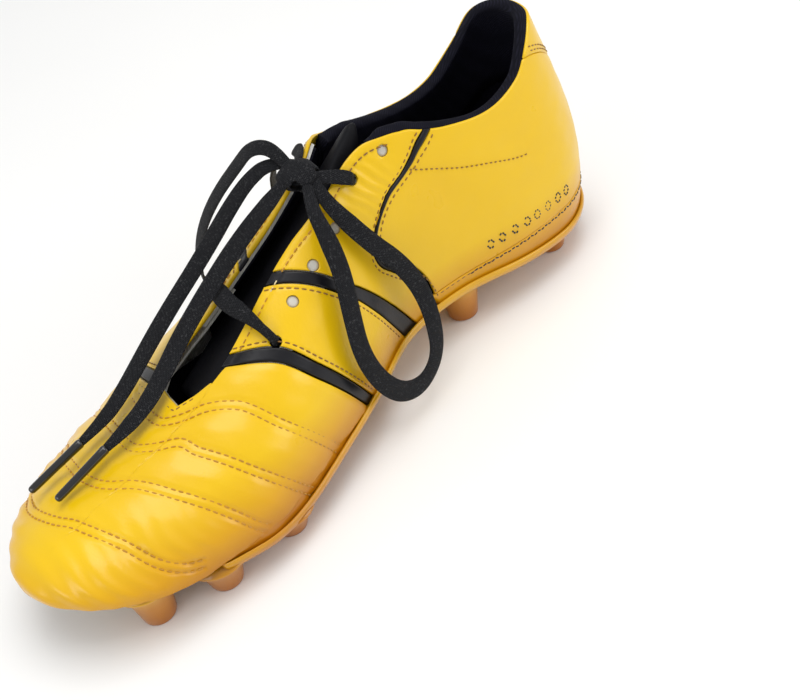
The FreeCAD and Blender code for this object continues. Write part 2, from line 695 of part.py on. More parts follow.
def make_lace():
    held_lace()
    tube("lace_medial_loop", MEDIAL_LOOP)
    tube("lace_lateral_loop", LATERAL_LOOP)
    tube("lace_outer_end", OUTER_END)
    tube("lace_inner_end", INNER_END)
    rod("outer_aglet", OUTER_END[-1], OUTER_AGLET_TO)
    rod("inner_aglet", INNER_END[-1], INNER_AGLET_TO)
    ball = Part.makeSphere(1.0)
    stretch = FreeCAD.Matrix()
    stretch.scale(Vec(*KNOT_RADII))
    knot = ball.transformGeometry(stretch)
    knot.translate(Vec(*KNOT_CENTRE))
    SHAPES["lace_knot"] = knot


# ---- build and export ----
def main():
    make_bottom()
    make_forefoot()
    make_side("medial", 1)
    make_side("lateral", -1)
    make_heel()
    make_tongue()
    make_lace()
    os.makedirs("parts", exist_ok=True)
    low = [1e9, 1e9, 1e9]
    high = [-1e9, -1e9, -1e9]
    for node, shape in SHAPES.items():
        shape.translate(Vec(-CENTRE_X, -CENTRE_Y, 0))
        box = shape.BoundBox
        if not node.startswith("lace") and not node.endswith("aglet"):
            low = [min(low[0], box.XMin), min(low[1], box.YMin), min(low[2], box.ZMin)]
            high = [max(high[0], box.XMax), max(high[1], box.YMax), max(high[2], box.ZMax)]
        print("%-26s solids %d valid %s volume %.0f mm3" % (node, len(shape.Solids), shape.isValid(), shape.Volume))
        shape.exportStep("parts/%s.step" % node)
    print("shoe without lace:", [round(v, 2) for v in low], [round(v, 2) for v in high])


main()
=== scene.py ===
"""The looks of a soccer cleat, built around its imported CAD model.

Shapes are worked out in millimetres in the CAD source's modelling frame: x from the heel to the toe, +y
medial, z up from the ground. place() turns them into metres in the row frame. The upper follows the same
surface as in the CAD source: s is the distance walked from the heel's centre line to the toe tip, w runs
from -1 at the medial sole edge over 0 on the ridge to +1 at the lateral sole edge.
"""
import bpy
import math
import numpy as np
from mathutils import Matrix, Vector


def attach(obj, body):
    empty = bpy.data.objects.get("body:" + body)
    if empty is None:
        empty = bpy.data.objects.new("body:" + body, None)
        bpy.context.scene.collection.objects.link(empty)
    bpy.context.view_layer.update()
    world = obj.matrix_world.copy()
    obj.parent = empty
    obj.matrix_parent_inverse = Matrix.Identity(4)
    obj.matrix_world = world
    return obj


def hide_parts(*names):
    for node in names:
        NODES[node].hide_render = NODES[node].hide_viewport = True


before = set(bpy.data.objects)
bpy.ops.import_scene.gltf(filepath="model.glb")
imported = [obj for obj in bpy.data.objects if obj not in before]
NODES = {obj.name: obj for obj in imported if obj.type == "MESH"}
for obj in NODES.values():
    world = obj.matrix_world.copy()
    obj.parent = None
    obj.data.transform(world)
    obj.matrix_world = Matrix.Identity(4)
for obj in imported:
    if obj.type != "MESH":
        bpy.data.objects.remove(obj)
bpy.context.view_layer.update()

# ---- the CAD source's driving dimensions, mm ----
LENGTH = 285.0
CENTRE = np.array([143.6, -3.6, 0.0])
MEDIAL_EDGE = [(0, 30.0), (36, 31.5), (60, 30.0), (90, 23.8), (118, 22.5), (145, 31.5), (170, 38.5),
               (195, 45.0), (212, 46.7), (228, 44.8), (245, 42.4)]
LATERAL_EDGE = [(0, 31.0), (36, 30.5), (60, 34.0), (90, 36.5), (118, 40.5), (145, 46.5), (170, 51.0),
                (190, 53.8), (205, 53.0), (220, 47.0)]
EDGE_Z = [(0, 17.3), (40, 17.2), (90, 22.5), (130, 20.2), (180, 14.8), (216, 14.0), (285, 28.5)]
RIDGE_Z = [(0, 152), (60, 138), (100, 111), (120, 98), (140, 86.9), (160, 75.3), (182, 62.9), (204, 54.4),
           (224, 48.6)]
RIDGE_Y = [(0, 0), (90, 0), (150, 5.0), (204, 5.7), (285, 5)]
COLLAR = {1: [(0, 103.4), (12, 103.2), (24, 98.0), (38, 89.5), (55, 86.0), (75, 89.4), (92, 95.2),
              (108, 97.2)],
          -1: [(0, 103.4), (12, 98.8), (24, 86.5), (38, 77.5), (55, 75.5), (75, 79.8), (92, 86.0),
               (108, 91.0)]}
EYESTAY = {1: [(92, 0.330), (100, 0.295), (107, 0.255), (114, 0.236), (122, 0.226), (130, 0.204),
               (140, 0.150), (147, 0.110), (158, 0.085), (171, 0.087), (187, 0.100)],
           -1: [(92, 0.440), (100, 0.400), (108, 0.310), (115, 0.215), (122, 0.160), (131, 0.138),
                (145, 0.142), (158, 0.172), (171, 0.199), (187, 0.218), (200, 0.202), (208, 0.155)]}
COLLAR_END = (84, 96)
HEEL_R = 36.0
HEEL_ARC = HEEL_R * math.pi / 2
BALL_X = 204.0
S_BALL = HEEL_ARC + BALL_X - HEEL_R
TOE_ARC = 112.0
S_END = S_BALL + TOE_ARC
FAN = 1.12
FAN_OUT = {1: 8.0, -1: -8.0}
TOE_FAN = {1: 20.0, -1: 14.0}
TOE_TIP = (LENGTH, -0.8, 28.5)
TOE_RISE = (41.0, -12.6)
TOE_DROP = (2.0, 15.0)
SIDE_PULL = 0.564
TOP_PULL = 0.462
ANKLE_TOP_Y = 12.9
HEEL_BACK = [(15, 4.0), (40, 0.0), (60, 1.5), (80, 6.0), (95, 10.0), (140, 22.0)]
FRONT_STRIPE_FRONT = {1: [(0, 149.5), (0.38, 165.0), (0.67, 175.0), (1, 190.5)],
                      -1: [(0, 201.5), (0.35, 207.5), (0.7, 210.5), (1, 209.5)]}
FRONT_STRIPE_REAR = {1: [(0, 145.5), (0.41, 161.7), (0.7, 171.3), (1, 185.5)],
                     -1: [(0, 197.0), (0.35, 202.5), (0.7, 205.5), (1, 204.5)]}
REAR_STRIPE_FRONT = [(0, 119.5), (0.38, 135.2), (0.55, 143.7), (0.8, 154.5), (1, 162.5)]
REAR_STRIPE_REAR = [(0, 112.5), (0.35, 128.7), (0.55, 138.8), (0.8, 150.0), (1, 157.5)]
PIPING = [(0, 102.5), (0.1, 104.0), (0.2, 108.0), (0.3, 114.5), (0.4, 119.5), (0.5, 119.0),
          (0.62, 108.5), (0.78, 94.5), (1, 82.5)]
PIPING_HALF = 1.6
FOXING_TOP_Z = 28.2
TAB_LOW_Z = 74.0
TAB_REACH = {1: 30.0, -1: 21.0}
EYELET_R = 2.2
EYELETS = [(101.0, 0.91), (116.0, 0.87), (131.0, 0.785), (145.5, 0.75), (158.5, 0.745), (171.0, 0.73),
           (186.5, 0.80)]
LACED = (1, 5)
THROAT_BASE = [(197, 12.0), (203, 10.2), (209, 6.8), (207.5, -1.0), (205.5, -8.0)]
STUDS = [(255, 26), (231, 35), (201, 36.5), (248, -21), (222, -37), (193, -41.5), (82, 13.5), (80, -20),
         (30, 17), (30, -17)]
PLATE_T = 3.4
LACE_OVER = 3.2
LACE_UNDER = 6.5
TONGUE_TOP_X = 103.0
TONGUE_BASE_X = 205.0
TONGUE_HALF = 0.40        # half width of the tongue, in w
TONGUE_MIDDLE = -0.03     # its centre line, in w
TONGUE_MID_DEPTH = 5.2    # how far its middle and its edges lie under the skin
TONGUE_EDGE_DEPTH = 9.2
TONGUE_T = 3.7
KNOT_CENTRE = (130.5, 1.5, 97.0)
MEDIAL_LOOP = [(133, 9, 97), (138, 15, 93), (140, 22, 84.5), (142.5, 28.5, 73), (147.5, 34, 60.5),
               (151.5, 38.5, 46), (149, 41, 31), (141.5, 41.5, 18.5), (130, 40.5, 13.5), (119, 39, 19.5),
               (114.5, 35.5, 32.5), (113.5, 31, 46), (118, 28.5, 59.5), (125, 25.5, 72), (129.5, 20, 83.5),
               (131, 13, 92), (129, 6, 98)]
LATERAL_LOOP = [(130.5, -1, 97.5), (129, -10, 103.5), (131.5, -21, 103), (136, -30, 93), (141, -39.5, 82),
                (146, -47.5, 70), (150, -53.5, 57), (152, -57.5, 43), (149, -60, 29), (141, -61, 19),
                (130, -60.5, 15), (119, -58.5, 21), (114, -54.5, 33), (113, -49, 46.5), (115, -43.5, 60),
                (118, -37, 72.5), (121.5, -28.5, 84), (125, -18, 93), (128, -8, 97.5)]
OUTER_END = [(128, -5, 98.5), (132, -12, 99), (139, -18, 94), (148, -21.5, 86.5), (158, -23, 79),
             (169, -24, 72), (181, -24.5, 65.5), (193, -23.5, 60), (205, -20, 56.5), (217, -15.5, 54),
             (229, -12, 52), (240, -12, 50.5)]
INNER_END = [(134, 2, 99.5), (142, 0.5, 95.5), (151.5, -2.5, 89.5), (161.5, -5.5, 82.5), (172, -7, 75.8),
             (183, -7.5, 69.5), (194, -6.5, 64), (205, -3.5, 59.5), (216, 0, 56.5), (227, 1.5, 54.5),
             (237, 0.5, 52.3)]
OUTER_AGLET_TO = (262.5, -15.5, 44.2)
INNER_AGLET_TO = (259.5, -1.5, 46.2)
LACE_T = 1.3
SIDES = {"medial": 1, "lateral": -1}

# quilted seams of the forefoot, each from the medial to the lateral sole edge, places on the upper
QUILT_SEAMS = [
    [(174, 39.4, 16.7), (190, 36.3, 43.3), (195.6, 26.9, 51.3), (198.4, 22.6, 52.8), (205, 16, 52.6),
     (212.6, 10.9, 51.8), (217, 3.7, 51), (215.4, -10.5, 49.1), (212.5, -20, 46.9)],
    [(192, 44.5, 14.2), (207, 39.3, 37.5), (216.3, 24.4, 47.1), (218.8, 17.4, 49.3), (225.3, 10.8, 49.3),
     (229.9, 1.6, 48.4), (227.8, -8.2, 47.3), (225.6, -21.2, 43.8), (222.9, -34, 38.2), (214, -47, 20)],
    [(214.6, 46.7, 18.8), (217.7, 45.6, 24), (231.5, 29.4, 41.5), (237.7, 16.6, 45.9), (244.2, 7.2, 46),
     (247.4, -7, 44), (245.9, -15, 42.2), (244.2, -23.5, 39.4), (238, -36, 28), (232, -41, 18)],
    [(239.3, 43.4, 23.1), (244, 42, 25), (254.3, 28.2, 37.5), (260.6, 10, 42.5), (263.6, 1, 41.8),
     (265.2, -16.3, 37.3), (258, -29, 28), (252, -33, 20)]]
QUILT_PAIR = 1.5          # half the distance between a seam's two rows
QUARTER_ROW = [(97.0, 0, 83.0), (89.6, 0, 79.1), (76.5, 0, 72.8), (59.7, 0, 66), (44.6, 0, 61.6)]


# ---- the upper's surface ----
def place(points):
    """Millimetres in the modelling frame to metres in the row frame."""
    return (np.asarray(points, float) - CENTRE) * 0.001


def curve(points, x):
    """A smooth curve through given points, level beyond both ends; x may be an array."""
    xs = np.array([p[0] for p in points], float)
    ys = np.array([p[1] for p in points], float)
    x = np.clip(np.asarray(x, float), xs[0], xs[-1])
    slopes = np.gradient(ys)
    slopes[1:-1] = (ys[2:] - ys[:-2]) / (xs[2:] - xs[:-2])
    slopes[0] = (ys[1] - ys[0]) / (xs[1] - xs[0])
    slopes[-1] = (ys[-1] - ys[-2]) / (xs[-1] - xs[-2])
    i = np.clip(np.searchsorted(xs, x, side="left") - 1, 0, len(xs) - 2)
    h = xs[i + 1] - xs[i]
    t = (x - xs[i]) / h
    t2 = t * t
    t3 = t2 * t
    return ((2 * t3 - 3 * t2 + 1) * ys[i] + (t3 - 2 * t2 + t) * slopes[i] * h
            + (3 * t2 - 2 * t3) * ys[i + 1] + (t3 - t2) * slopes[i + 1] * h)


def smooth(a, b, x):
    t = np.clip((np.asarray(x, float) - a) / (b - a), 0.0, 1.0)
    return t * t * (3 - 2 * t)


def bezier(p0, p1, p2, p3, t):
    u = 1 - t
    return u * u * u * p0 + 3 * u * u * t * p1 + 3 * u * t * t * p2 + t * t * t * p3


def arc_at(x):
    """Distance s at which a section stands at x."""
    x = np.asarray(x, float)
    heel = HEEL_R * np.arccos(np.clip(1 - x / HEEL_R, -1, 1))
    return np.where(x < HEEL_R, heel, HEEL_ARC + x - HEEL_R)


def station(s):
    """Ridge point, sole edge points by side, width factor and x of the section at s."""
    fan = FAN * float(smooth(100, BALL_X + 20, min(BALL_X, HEEL_R + s - HEEL_ARC)))
    if s < HEEL_ARC:
        x = HEEL_R * (1 - math.cos(s / HEEL_R))
        f = math.sin(s / HEEL_R)
        z = float(curve(EDGE_Z, x))
        edges = {1: np.array([x, MEDIAL_EDGE[1][1] * f, z]), -1: np.array([x, -LATERAL_EDGE[1][1] * f, z])}
        return np.array([x, 0.0, float(curve(RIDGE_Z, x))]), edges, f, x
    if s < S_BALL:
        x = HEEL_R + s - HEEL_ARC
        ridge = np.array([x, float(curve(RIDGE_Y, x)), float(curve(RIDGE_Z, x))])
        along = {side: x + FAN_OUT[side] * fan for side in (1, -1)}
    else:
        t = (s - S_BALL) / TOE_ARC
        y0 = float(curve(RIDGE_Y, BALL_X))
        z0 = float(curve(RIDGE_Z, BALL_X))
        ridge = bezier(np.array([BALL_X, y0, z0]), np.array([BALL_X + TOE_RISE[0], y0, z0 + TOE_RISE[1]]),
                       np.array([TOE_TIP[0] + TOE_DROP[0], TOE_TIP[1], TOE_TIP[2] + TOE_DROP[1]]),
                       np.array(TOE_TIP), t)
        x = float(ridge[0])
        spread = 1 - (1 - t) ** 2.2
        along = {side: BALL_X + FAN_OUT[side] * fan + TOE_FAN[side] * spread for side in (1, -1)}
    edges = {}
    for side, outline in ((1, MEDIAL_EDGE), (-1, LATERAL_EDGE)):
        at = along[side]
        edges[side] = np.array([at, side * float(curve(outline, at)), float(curve(EDGE_Z, at))])
    return ridge, edges, 1.0, x


def raw_section(s, side, m, with_ankle=True):
    """Points of one side's section at s, at the shares m = |w|."""
    ridge, edges, f, x = station(s)
    edge = edges[side]
    width = edges[1][1] - edges[-1][1]
    share = (edges[1][1] - ridge[1]) / width if width > 1e-6 else 0.5
    middle = edges[1] + (edges[-1] - edges[1]) * share
    rise = ridge - middle
    bulge = side * 2.5 * f * (1 - float(smooth(S_BALL, S_END, s)))
    p1 = edge + SIDE_PULL * rise + np.array([0, bulge, 0])
    p2 = ridge + TOP_PULL * (edge - middle)
    p3 = ridge
    ankle = 1 - float(smooth(45, 122, x)) if with_ankle and s < S_BALL else 0.0
    if ankle > 0:
        high = ridge[2] - edge[2]
        p1 = p1 + (np.array([x, edge[1] + side * 6.0 * f, edge[2] + 0.26 * high]) - p1) * ankle
        p2 = p2 + (np.array([x, side * 22.0 * f, edge[2] + 0.55 * high]) - p2) * ankle
        p3 = p3 + (np.array([x, side * ANKLE_TOP_Y * f, ridge[2]]) - p3) * ankle
    p = bezier(edge, p1, p2, p3, (1 - m)[:, None])
    if x < 70 and s < S_BALL:
        p[:, 0] += curve(HEEL_BACK, p[:, 2]) * (1 - x / 70) ** 2
    return p


def section(s, side, m, with_ankle=True):
    p = raw_section(s, side, m, with_ankle)
    if s > S_BALL:
        rim = raw_section(S_END, side, m)
        ease = ((s - S_BALL) / TOE_ARC) ** 3
        p[:, 2] += ease * (curve(EDGE_Z, rim[:, 0]) - rim[:, 2])
    return p


S_ROWS = np.linspace(0.0, S_END, 430)
M_ROWS = np.linspace(0.0, 1.0, 241)
X_ROWS = np.array([station(s)[3] for s in S_ROWS])


def outward(points):
    """Normals of a table of points, turned away from the foot."""
    along = np.gradient(points, axis=0)
    across = np.gradient(points, axis=1)
    normal = np.cross(along, across)
    normal /= np.maximum(np.linalg.norm(normal, axis=2, keepdims=True), 1e-9)
    inside = np.stack([np.clip(points[..., 0], 40, 240), np.full(points.shape[:2], 3.0),
                       np.full(points.shape[:2], 30.0)], axis=2)
    flip = np.sum(normal * (points - inside), axis=2) < 0
    normal[flip] *= -1
    return normal


def tables(with_ankle):
    points = {side: np.array([section(s, side, M_ROWS, with_ankle) for s in S_ROWS]) for side in (1, -1)}
    normals = {side: outward(points[side]) for side in (1, -1)}
    join = normals[1][:, 0] + normals[-1][:, 0]
    join /= np.linalg.norm(join, axis=1, keepdims=True)
    level = np.ones(len(S_ROWS), bool) if not with_ankle else X_ROWS > 122
    for side in (1, -1):
        normals[side][level, 0] = join[level]
    return points, normals


POINTS, NORMALS = tables(True)
FLAT_POINTS, FLAT_NORMALS = tables(False)


def look_up(table, s, m):
    """Values of a table between its rows."""
    i = np.clip(s / S_END, 0, 1) * (len(S_ROWS) - 1)
    j = np.clip(m, 0, 1) * (len(M_ROWS) - 1)
    i0 = np.minimum(i.astype(int), len(S_ROWS) - 2)
    j0 = np.minimum(j.astype(int), len(M_ROWS) - 2)
    fi = (i - i0)[..., None]
    fj = (j - j0)[..., None]
    return ((table[i0, j0] * (1 - fj) + table[i0, j0 + 1] * fj) * (1 - fi)
            + (table[i0 + 1, j0] * (1 - fj) + table[i0 + 1, j0 + 1] * fj) * fi)


def on_skin(s, w, height=0.0, with_ankle=True):
    """Points at a height above the upper's surface, for arrays s and w."""
    s, w, height = np.broadcast_arrays(np.asarray(s, float), np.asarray(w, float), np.asarray(height, float))
    points, normals = (POINTS, NORMALS) if with_ankle else (FLAT_POINTS, FLAT_NORMALS)
    medial = (w < 0)[..., None]
    p = np.where(medial, look_up(points[1], s, np.abs(w)), look_up(points[-1], s, np.abs(w)))
    n = np.where(medial, look_up(normals[1], s, np.abs(w)), look_up(normals[-1], s, np.abs(w)))
    n = n / np.linalg.norm(n, axis=-1, keepdims=True)
    return p + n * height[..., None]


def skin_normal(s, w):
    return on_skin(s, w, 1.0) - on_skin(s, w)


def m_at_z(side, row, z):
    """|w| at which a table row stands at the height z."""
    heights = POINTS[side][row, :, 2]
    return float(np.interp(z, heights[::-1], M_ROWS[::-1]))


def top_rows(side):
    """|w| of the top edge at every table row: the collar behind, the eyestay's edge ahead."""
    found = []
    for row, x in enumerate(X_ROWS):
        eyestay = float(curve(EYESTAY[side], x))
        at_collar = m_at_z(side, row, float(curve(COLLAR[side], x))) if x <= COLLAR_END[1] else eyestay
        found.append(at_collar + (eyestay - at_collar) * float(smooth(COLLAR_END[0], COLLAR_END[1], x)))
    return np.array(found)


TOPS = {side: top_rows(side) for side in (1, -1)}


def top_m(side, s):
    return np.interp(s, S_ROWS, TOPS[side])


def w_at(side, s, u):
    """w at the height fraction u: 0 at the sole edge, 1 at the top edge."""
    return -side * (1 - u * (1 - top_m(side, s)))


def u_at_z(side, z):
    """Height fraction of the level z at every table row, as a function of s."""
    rows = np.array([(1 - m_at_z(side, row, z)) / (1 - TOPS[side][row]) for row in range(len(S_ROWS))])
    return lambda s: np.interp(s, S_ROWS, rows)


def tab_u(side):
    """Height fraction of the heel tab's lower edge, as a function of s."""
    middle = float(u_at_z(side, TAB_LOW_Z)(0.0))

    def find(s):
        x = np.interp(s, S_ROWS, X_ROWS)
        reach = np.clip(x / TAB_REACH[side], 0, 1) ** 0.8
        return np.where(x >= TAB_REACH[side], 1.0, middle + (1 - middle) * reach)
    return find


def locate(point):
    """s and w of the place on the surface nearest to a point."""
    best = None
    for side in (1, -1):
        gap = np.sum((POINTS[side] - np.asarray(point, float)) ** 2, axis=2)
        k = np.unravel_index(np.argmin(gap), gap.shape)
        if best is None or gap[k] < best[0]:
            best = (gap[k], side, k)
    _, side, (row, column) = best
    return S_ROWS[row], -side * M_ROWS[column]


# ---- meshes ----
def new_mesh(name, verts, faces, material, smooth_faces=True):
    mesh = bpy.data.meshes.new(name)
    mesh.from_pydata([tuple(v) for v in verts], [], [tuple(f) for f in faces])
    mesh.validate()
    obj = bpy.data.objects.new(name, mesh)
    bpy.context.scene.collection.objects.link(obj)
    mesh.materials.append(material)
    if smooth_faces:
        mesh.polygons.foreach_set("use_smooth", [True] * len(mesh.polygons))
    mesh.update()
    return obj


def quads(rows, columns, offset=0, flip=False):
    i, j = np.meshgrid(np.arange(rows - 1), np.arange(columns - 1), indexing="ij")
    a = offset + i * columns + j
    order = (a, a + 1, a + columns + 1, a + columns) if flip else (a, a + columns, a + columns + 1, a + 1)
    return np.stack(order, axis=-1).reshape(-1, 4).tolist()


def ring_faces(rings, columns, offset=0, caps=True, flip=False):
    """Faces of a tube whose vertices stand ring by ring, with a cap at both ends."""
    faces = []
    for i in range(rings - 1):
        a = offset + i * columns
        for k in range(columns):
            n = (k + 1) % columns
            face = (a + k, a + columns + k, a + columns + n, a + n)
            faces.append((a + k, a + n, a + columns + n, a + columns + k) if flip else face)
    if caps:
        start = tuple(range(offset, offset + columns))
        end = tuple(range(offset + (rings - 1) * columns, offset + rings * columns))
        faces.append(start[::-1] if flip else start)
        faces.append(end if flip else end[::-1])
    return faces


def around(count):
    """Angles of the points of a ring."""
    return [2 * math.pi * k / count for k in range(count)]


def closed_sheet(name, outer, inner, material):
    """A closed piece between two grids of millimetre points."""
    rows, columns = outer.shape[:2]
    count = rows * columns
    verts = np.concatenate([place(outer).reshape(-1, 3), place(inner).reshape(-1, 3)])
    du = outer[1:, :-1] - outer[:-1, :-1]
    dv = outer[:-1, 1:] - outer[:-1, :-1]
    facing = np.sum(np.cross(du, dv) * (outer - inner)[:-1, :-1])
    flip = facing < 0
    faces = quads(rows, columns, 0, flip) + quads(rows, columns, count, not flip)
    ring = [j for j in range(columns)]
    ring += [i * columns + columns - 1 for i in range(1, rows)]
    ring += [(rows - 1) * columns + j for j in range(columns - 2, -1, -1)]
    ring += [i * columns for i in range(rows - 2, 0, -1)]
    for a, b in zip(ring, ring[1:] + ring[:1]):
        faces.append((a, b, count + b, count + a) if not flip else (b, a, count + a, count + b))
    return new_mesh(name, verts, faces, material)


def lengths_along(points, axis):
    step = np.linalg.norm(np.diff(points, axis=axis), axis=2)
    pad = [(0, 0), (0, 0)]
    pad[axis] = (1, 0)
    return np.cumsum(np.pad(step, pad), axis=axis)


def border_distance(points, rolled=(True, True, True, True)):
    """Distance of every grid point from the nearest rolled border: first, last row, first, last column."""
    along = lengths_along(points, 0)
    across = lengths_along(points, 1)
    far = np.full(along.shape, 1e3)
    options = [along, along[-1:] - along, across, across[:, -1:] - across]
    for keep, option in zip(rolled, options):
        if keep:
            far = np.minimum(far, option)
    return far


def roll(distance, radius=0.7):
    """Drop of a turned edge: a quarter round over the last part of the way to the border."""
    reach = np.clip(radius - distance, 0, radius)
    return -(radius - np.sqrt(radius * radius - reach * reach))


def spacing(length, step):
    """Shares 0..1 along a length, closer together at both ends."""
    ends = np.array([0.0, 0.08, 0.2, 0.38, 0.6, 1.0])
    middle = np.linspace(1.0, length - 1.0, max(3, int((length - 2.0) / step)))[1:-1]
    return np.concatenate([ends, middle, length - ends[::-1]]) / length


def nearest_distance(points, rows):
    """Distance of every point from the nearest point of some rows."""
    flat = points.reshape(-1, 3)
    found = np.full(len(flat), 1e3)
    for row in rows:
        box_low = row.min(0) - 12
        box_high = row.max(0) + 12
        near = np.flatnonzero(np.all((flat > box_low) & (flat < box_high), axis=1))
        for k in range(0, len(near), 4000):
            part = near[k:k + 4000]
            gap = np.linalg.norm(flat[part][:, None] - row[None], axis=2).min(1)
            found[part] = np.minimum(found[part], gap)
    return found.reshape(points.shape[:-1])


def ripples(points, waves, seed):
    """Soft uneven relief, from a few seeded plane waves: (wavelength, height) for each."""
    rng = np.random.default_rng(seed)
    total = np.zeros(points.shape[:-1])
    for wavelength, height in waves:
        for _ in range(5):
            direction = rng.normal(size=3)
            direction /= np.linalg.norm(direction)
            phase = rng.uniform(0, 2 * math.pi)
            total += height * np.sin(points @ direction * 2 * math.pi / wavelength + phase) / 2.2
    return total


def resample(points, step):
    """A polyline's points, evenly spaced."""
    points = np.asarray(points, float)
    run = np.concatenate([[0], np.cumsum(np.linalg.norm(np.diff(points, axis=0), axis=1))])
    count = max(2, int(round(run[-1] / step)) + 1)
    want = np.linspace(0, run[-1], count)
    return np.stack([np.interp(want, run, points[:, k]) for k in range(points.shape[1])], axis=1)


# ---- seams: rows of points on the upper, in (s, w) ----
def row_on_skin(places, step=0.5):
    """A smooth row on the surface through (s, w) places."""
    places = np.asarray(places, float)
    run = np.concatenate([[0], np.cumsum(np.hypot(np.diff(places[:, 0]), 60 * np.diff(places[:, 1])))])
    t = np.linspace(0, run[-1], max(8, int(run[-1] / step)))
    s = curve(list(zip(run, places[:, 0])), t)
    w = curve(list(zip(run, places[:, 1])), t)
    return np.stack([s, w], axis=1)


def beside(row, offset):
    """The row moved sideways on the surface by an offset in mm."""
    p = on_skin(row[:, 0], row[:, 1])
    tangent = np.gradient(p, axis=0)
    tangent /= np.linalg.norm(tangent, axis=1, keepdims=True)
    across = np.cross(skin_normal(row[:, 0], row[:, 1]), tangent)
    ps = on_skin(row[:, 0] + 0.5, row[:, 1]) - on_skin(row[:, 0] - 0.5, row[:, 1])
    pw = on_skin(row[:, 0], row[:, 1] + 0.01) - on_skin(row[:, 0], row[:, 1] - 0.01)
    moved = []
    for k in range(len(row)):
        basis = np.stack([ps[k], pw[k] / 0.02], axis=1)
        step, *_ = np.linalg.lstsq(basis, across[k] * offset, rcond=None)
        moved.append(row[k] + step)
    return np.array(moved)


def border_row(border, side, shift, low=0.03, high=1.0, count=90):
    """A row along a panel border x(u), moved along the shoe by shift."""
    u = np.linspace(low, high, count)
    s = arc_at(curve(border, u) + shift)
    return np.stack([s, w_at(side, s, u)], axis=1)


def edge_row(side, x_from, x_to, inset):
    """A row along the top edge, an inset below it."""
    s = arc_at(np.linspace(x_from, x_to, 120))
    m = top_m(side, s)
    span = np.linalg.norm(on_skin(s, -side * (m + 0.05)) - on_skin(s, -side * m), axis=1) / 0.05
    return np.stack([s, -side * (m + inset / span)], axis=1)


def quilt_rows():
    rows = []
    for seam in QUILT_SEAMS:
        middle = row_on_skin([locate(p) for p in seam])
        rows.append((beside(middle, QUILT_PAIR), beside(middle, -QUILT_PAIR), middle))
    return rows


QUILTS = quilt_rows()
QUILT_MIDDLES = [on_skin(r[2][:, 0], r[2][:, 1]) for r in QUILTS]


# ---- materials ----
def material(name, color, rough, metallic=0.0, coat=0.0, coat_rough=0.1, sheen=0.0, specular=0.5):
    mat = bpy.data.materials.new(name)
    mat.use_nodes = True
    shader = mat.node_tree.nodes["Principled BSDF"]
    values = {"Base Color": (*color, 1.0), "Roughness": rough, "Metallic": metallic, "Coat Weight": coat,
              "Coat Roughness": coat_rough, "Sheen Weight": sheen, "Specular IOR Level": specular}
    for socket, value in values.items():
        shader.inputs[socket].default_value = value
    return mat, mat.node_tree, shader


def add(tree, kind, **inputs):
    node = tree.nodes.new(kind)
    for socket, value in inputs.items():
        node.inputs[socket.replace("_", " ")].default_value = value
    return node


def noise(tree, scale, detail=3.0, rough=0.55, stretch=(1, 1, 1)):
    """A noise texture in the piece's own coordinates, metres."""
    where = tree.nodes.new("ShaderNodeTexCoord")
    turn = tree.nodes.new("ShaderNodeMapping")
    turn.inputs["Scale"].default_value = stretch
    tree.links.new(where.outputs["Object"], turn.inputs["Vector"])
    tex = add(tree, "ShaderNodeTexNoise", Scale=scale, Detail=detail, Roughness=rough)
    tree.links.new(turn.outputs["Vector"], tex.inputs["Vector"])
    return tex


def ramp(tree, source, stops):
    node = tree.nodes.new("ShaderNodeValToRGB")
    node.color_ramp.elements[0].position = stops[0][0]
    node.color_ramp.elements[0].color = (*stops[0][1], 1)
    node.color_ramp.elements[1].position = stops[-1][0]
    node.color_ramp.elements[1].color = (*stops[-1][1], 1)
    for position, color in stops[1:-1]:
        extra = node.color_ramp.elements.new(position)
        extra.color = (*color, 1)
    tree.links.new(source, node.inputs["Fac"])
    return node


def calculate(tree, operation, *values):
    """A maths node on constants and on outputs of other nodes."""
    node = tree.nodes.new("ShaderNodeMath")
    node.operation = operation
    for socket, value in zip(node.inputs, values):
        if isinstance(value, float):
            socket.default_value = value
        else:
            tree.links.new(value, socket)
    return node.outputs["Value"]


def blend_colors(tree, factor, a, b, mode="MIX"):
    node = tree.nodes.new("ShaderNodeMix")
    node.data_type = "RGBA"
    node.blend_type = mode
    if isinstance(factor, float):
        node.inputs["Factor"].default_value = factor
    else:
        tree.links.new(factor, node.inputs["Factor"])
    for index, value in ((6, a), (7, b)):
        if isinstance(value, tuple):
            node.inputs[index].default_value = (*value, 1)
        else:
            tree.links.new(value, node.inputs[index])
    return node.outputs[2]


def bump(tree, shader, height, strength, distance):
    node = add(tree, "ShaderNodeBump", Strength=strength, Distance=distance)
    tree.links.new(height, node.inputs["Height"])
    tree.links.new(node.outputs["Normal"], shader.inputs["Normal"])
    return node


def height_share(tree, low, high):
    """0 at a low level over the ground and 1 at a high one, metres."""
    where = tree.nodes.new("ShaderNodeNewGeometry")
    split = tree.nodes.new("ShaderNodeSeparateXYZ")
    tree.links.new(where.outputs["Position"], split.inputs["Vector"])
    level = tree.nodes.new("ShaderNodeMapRange")
    level.inputs["From Min"].default_value = low
    level.inputs["From Max"].default_value = high
    tree.links.new(split.outputs["Z"], level.inputs["Value"])
    return level.outputs["Result"]


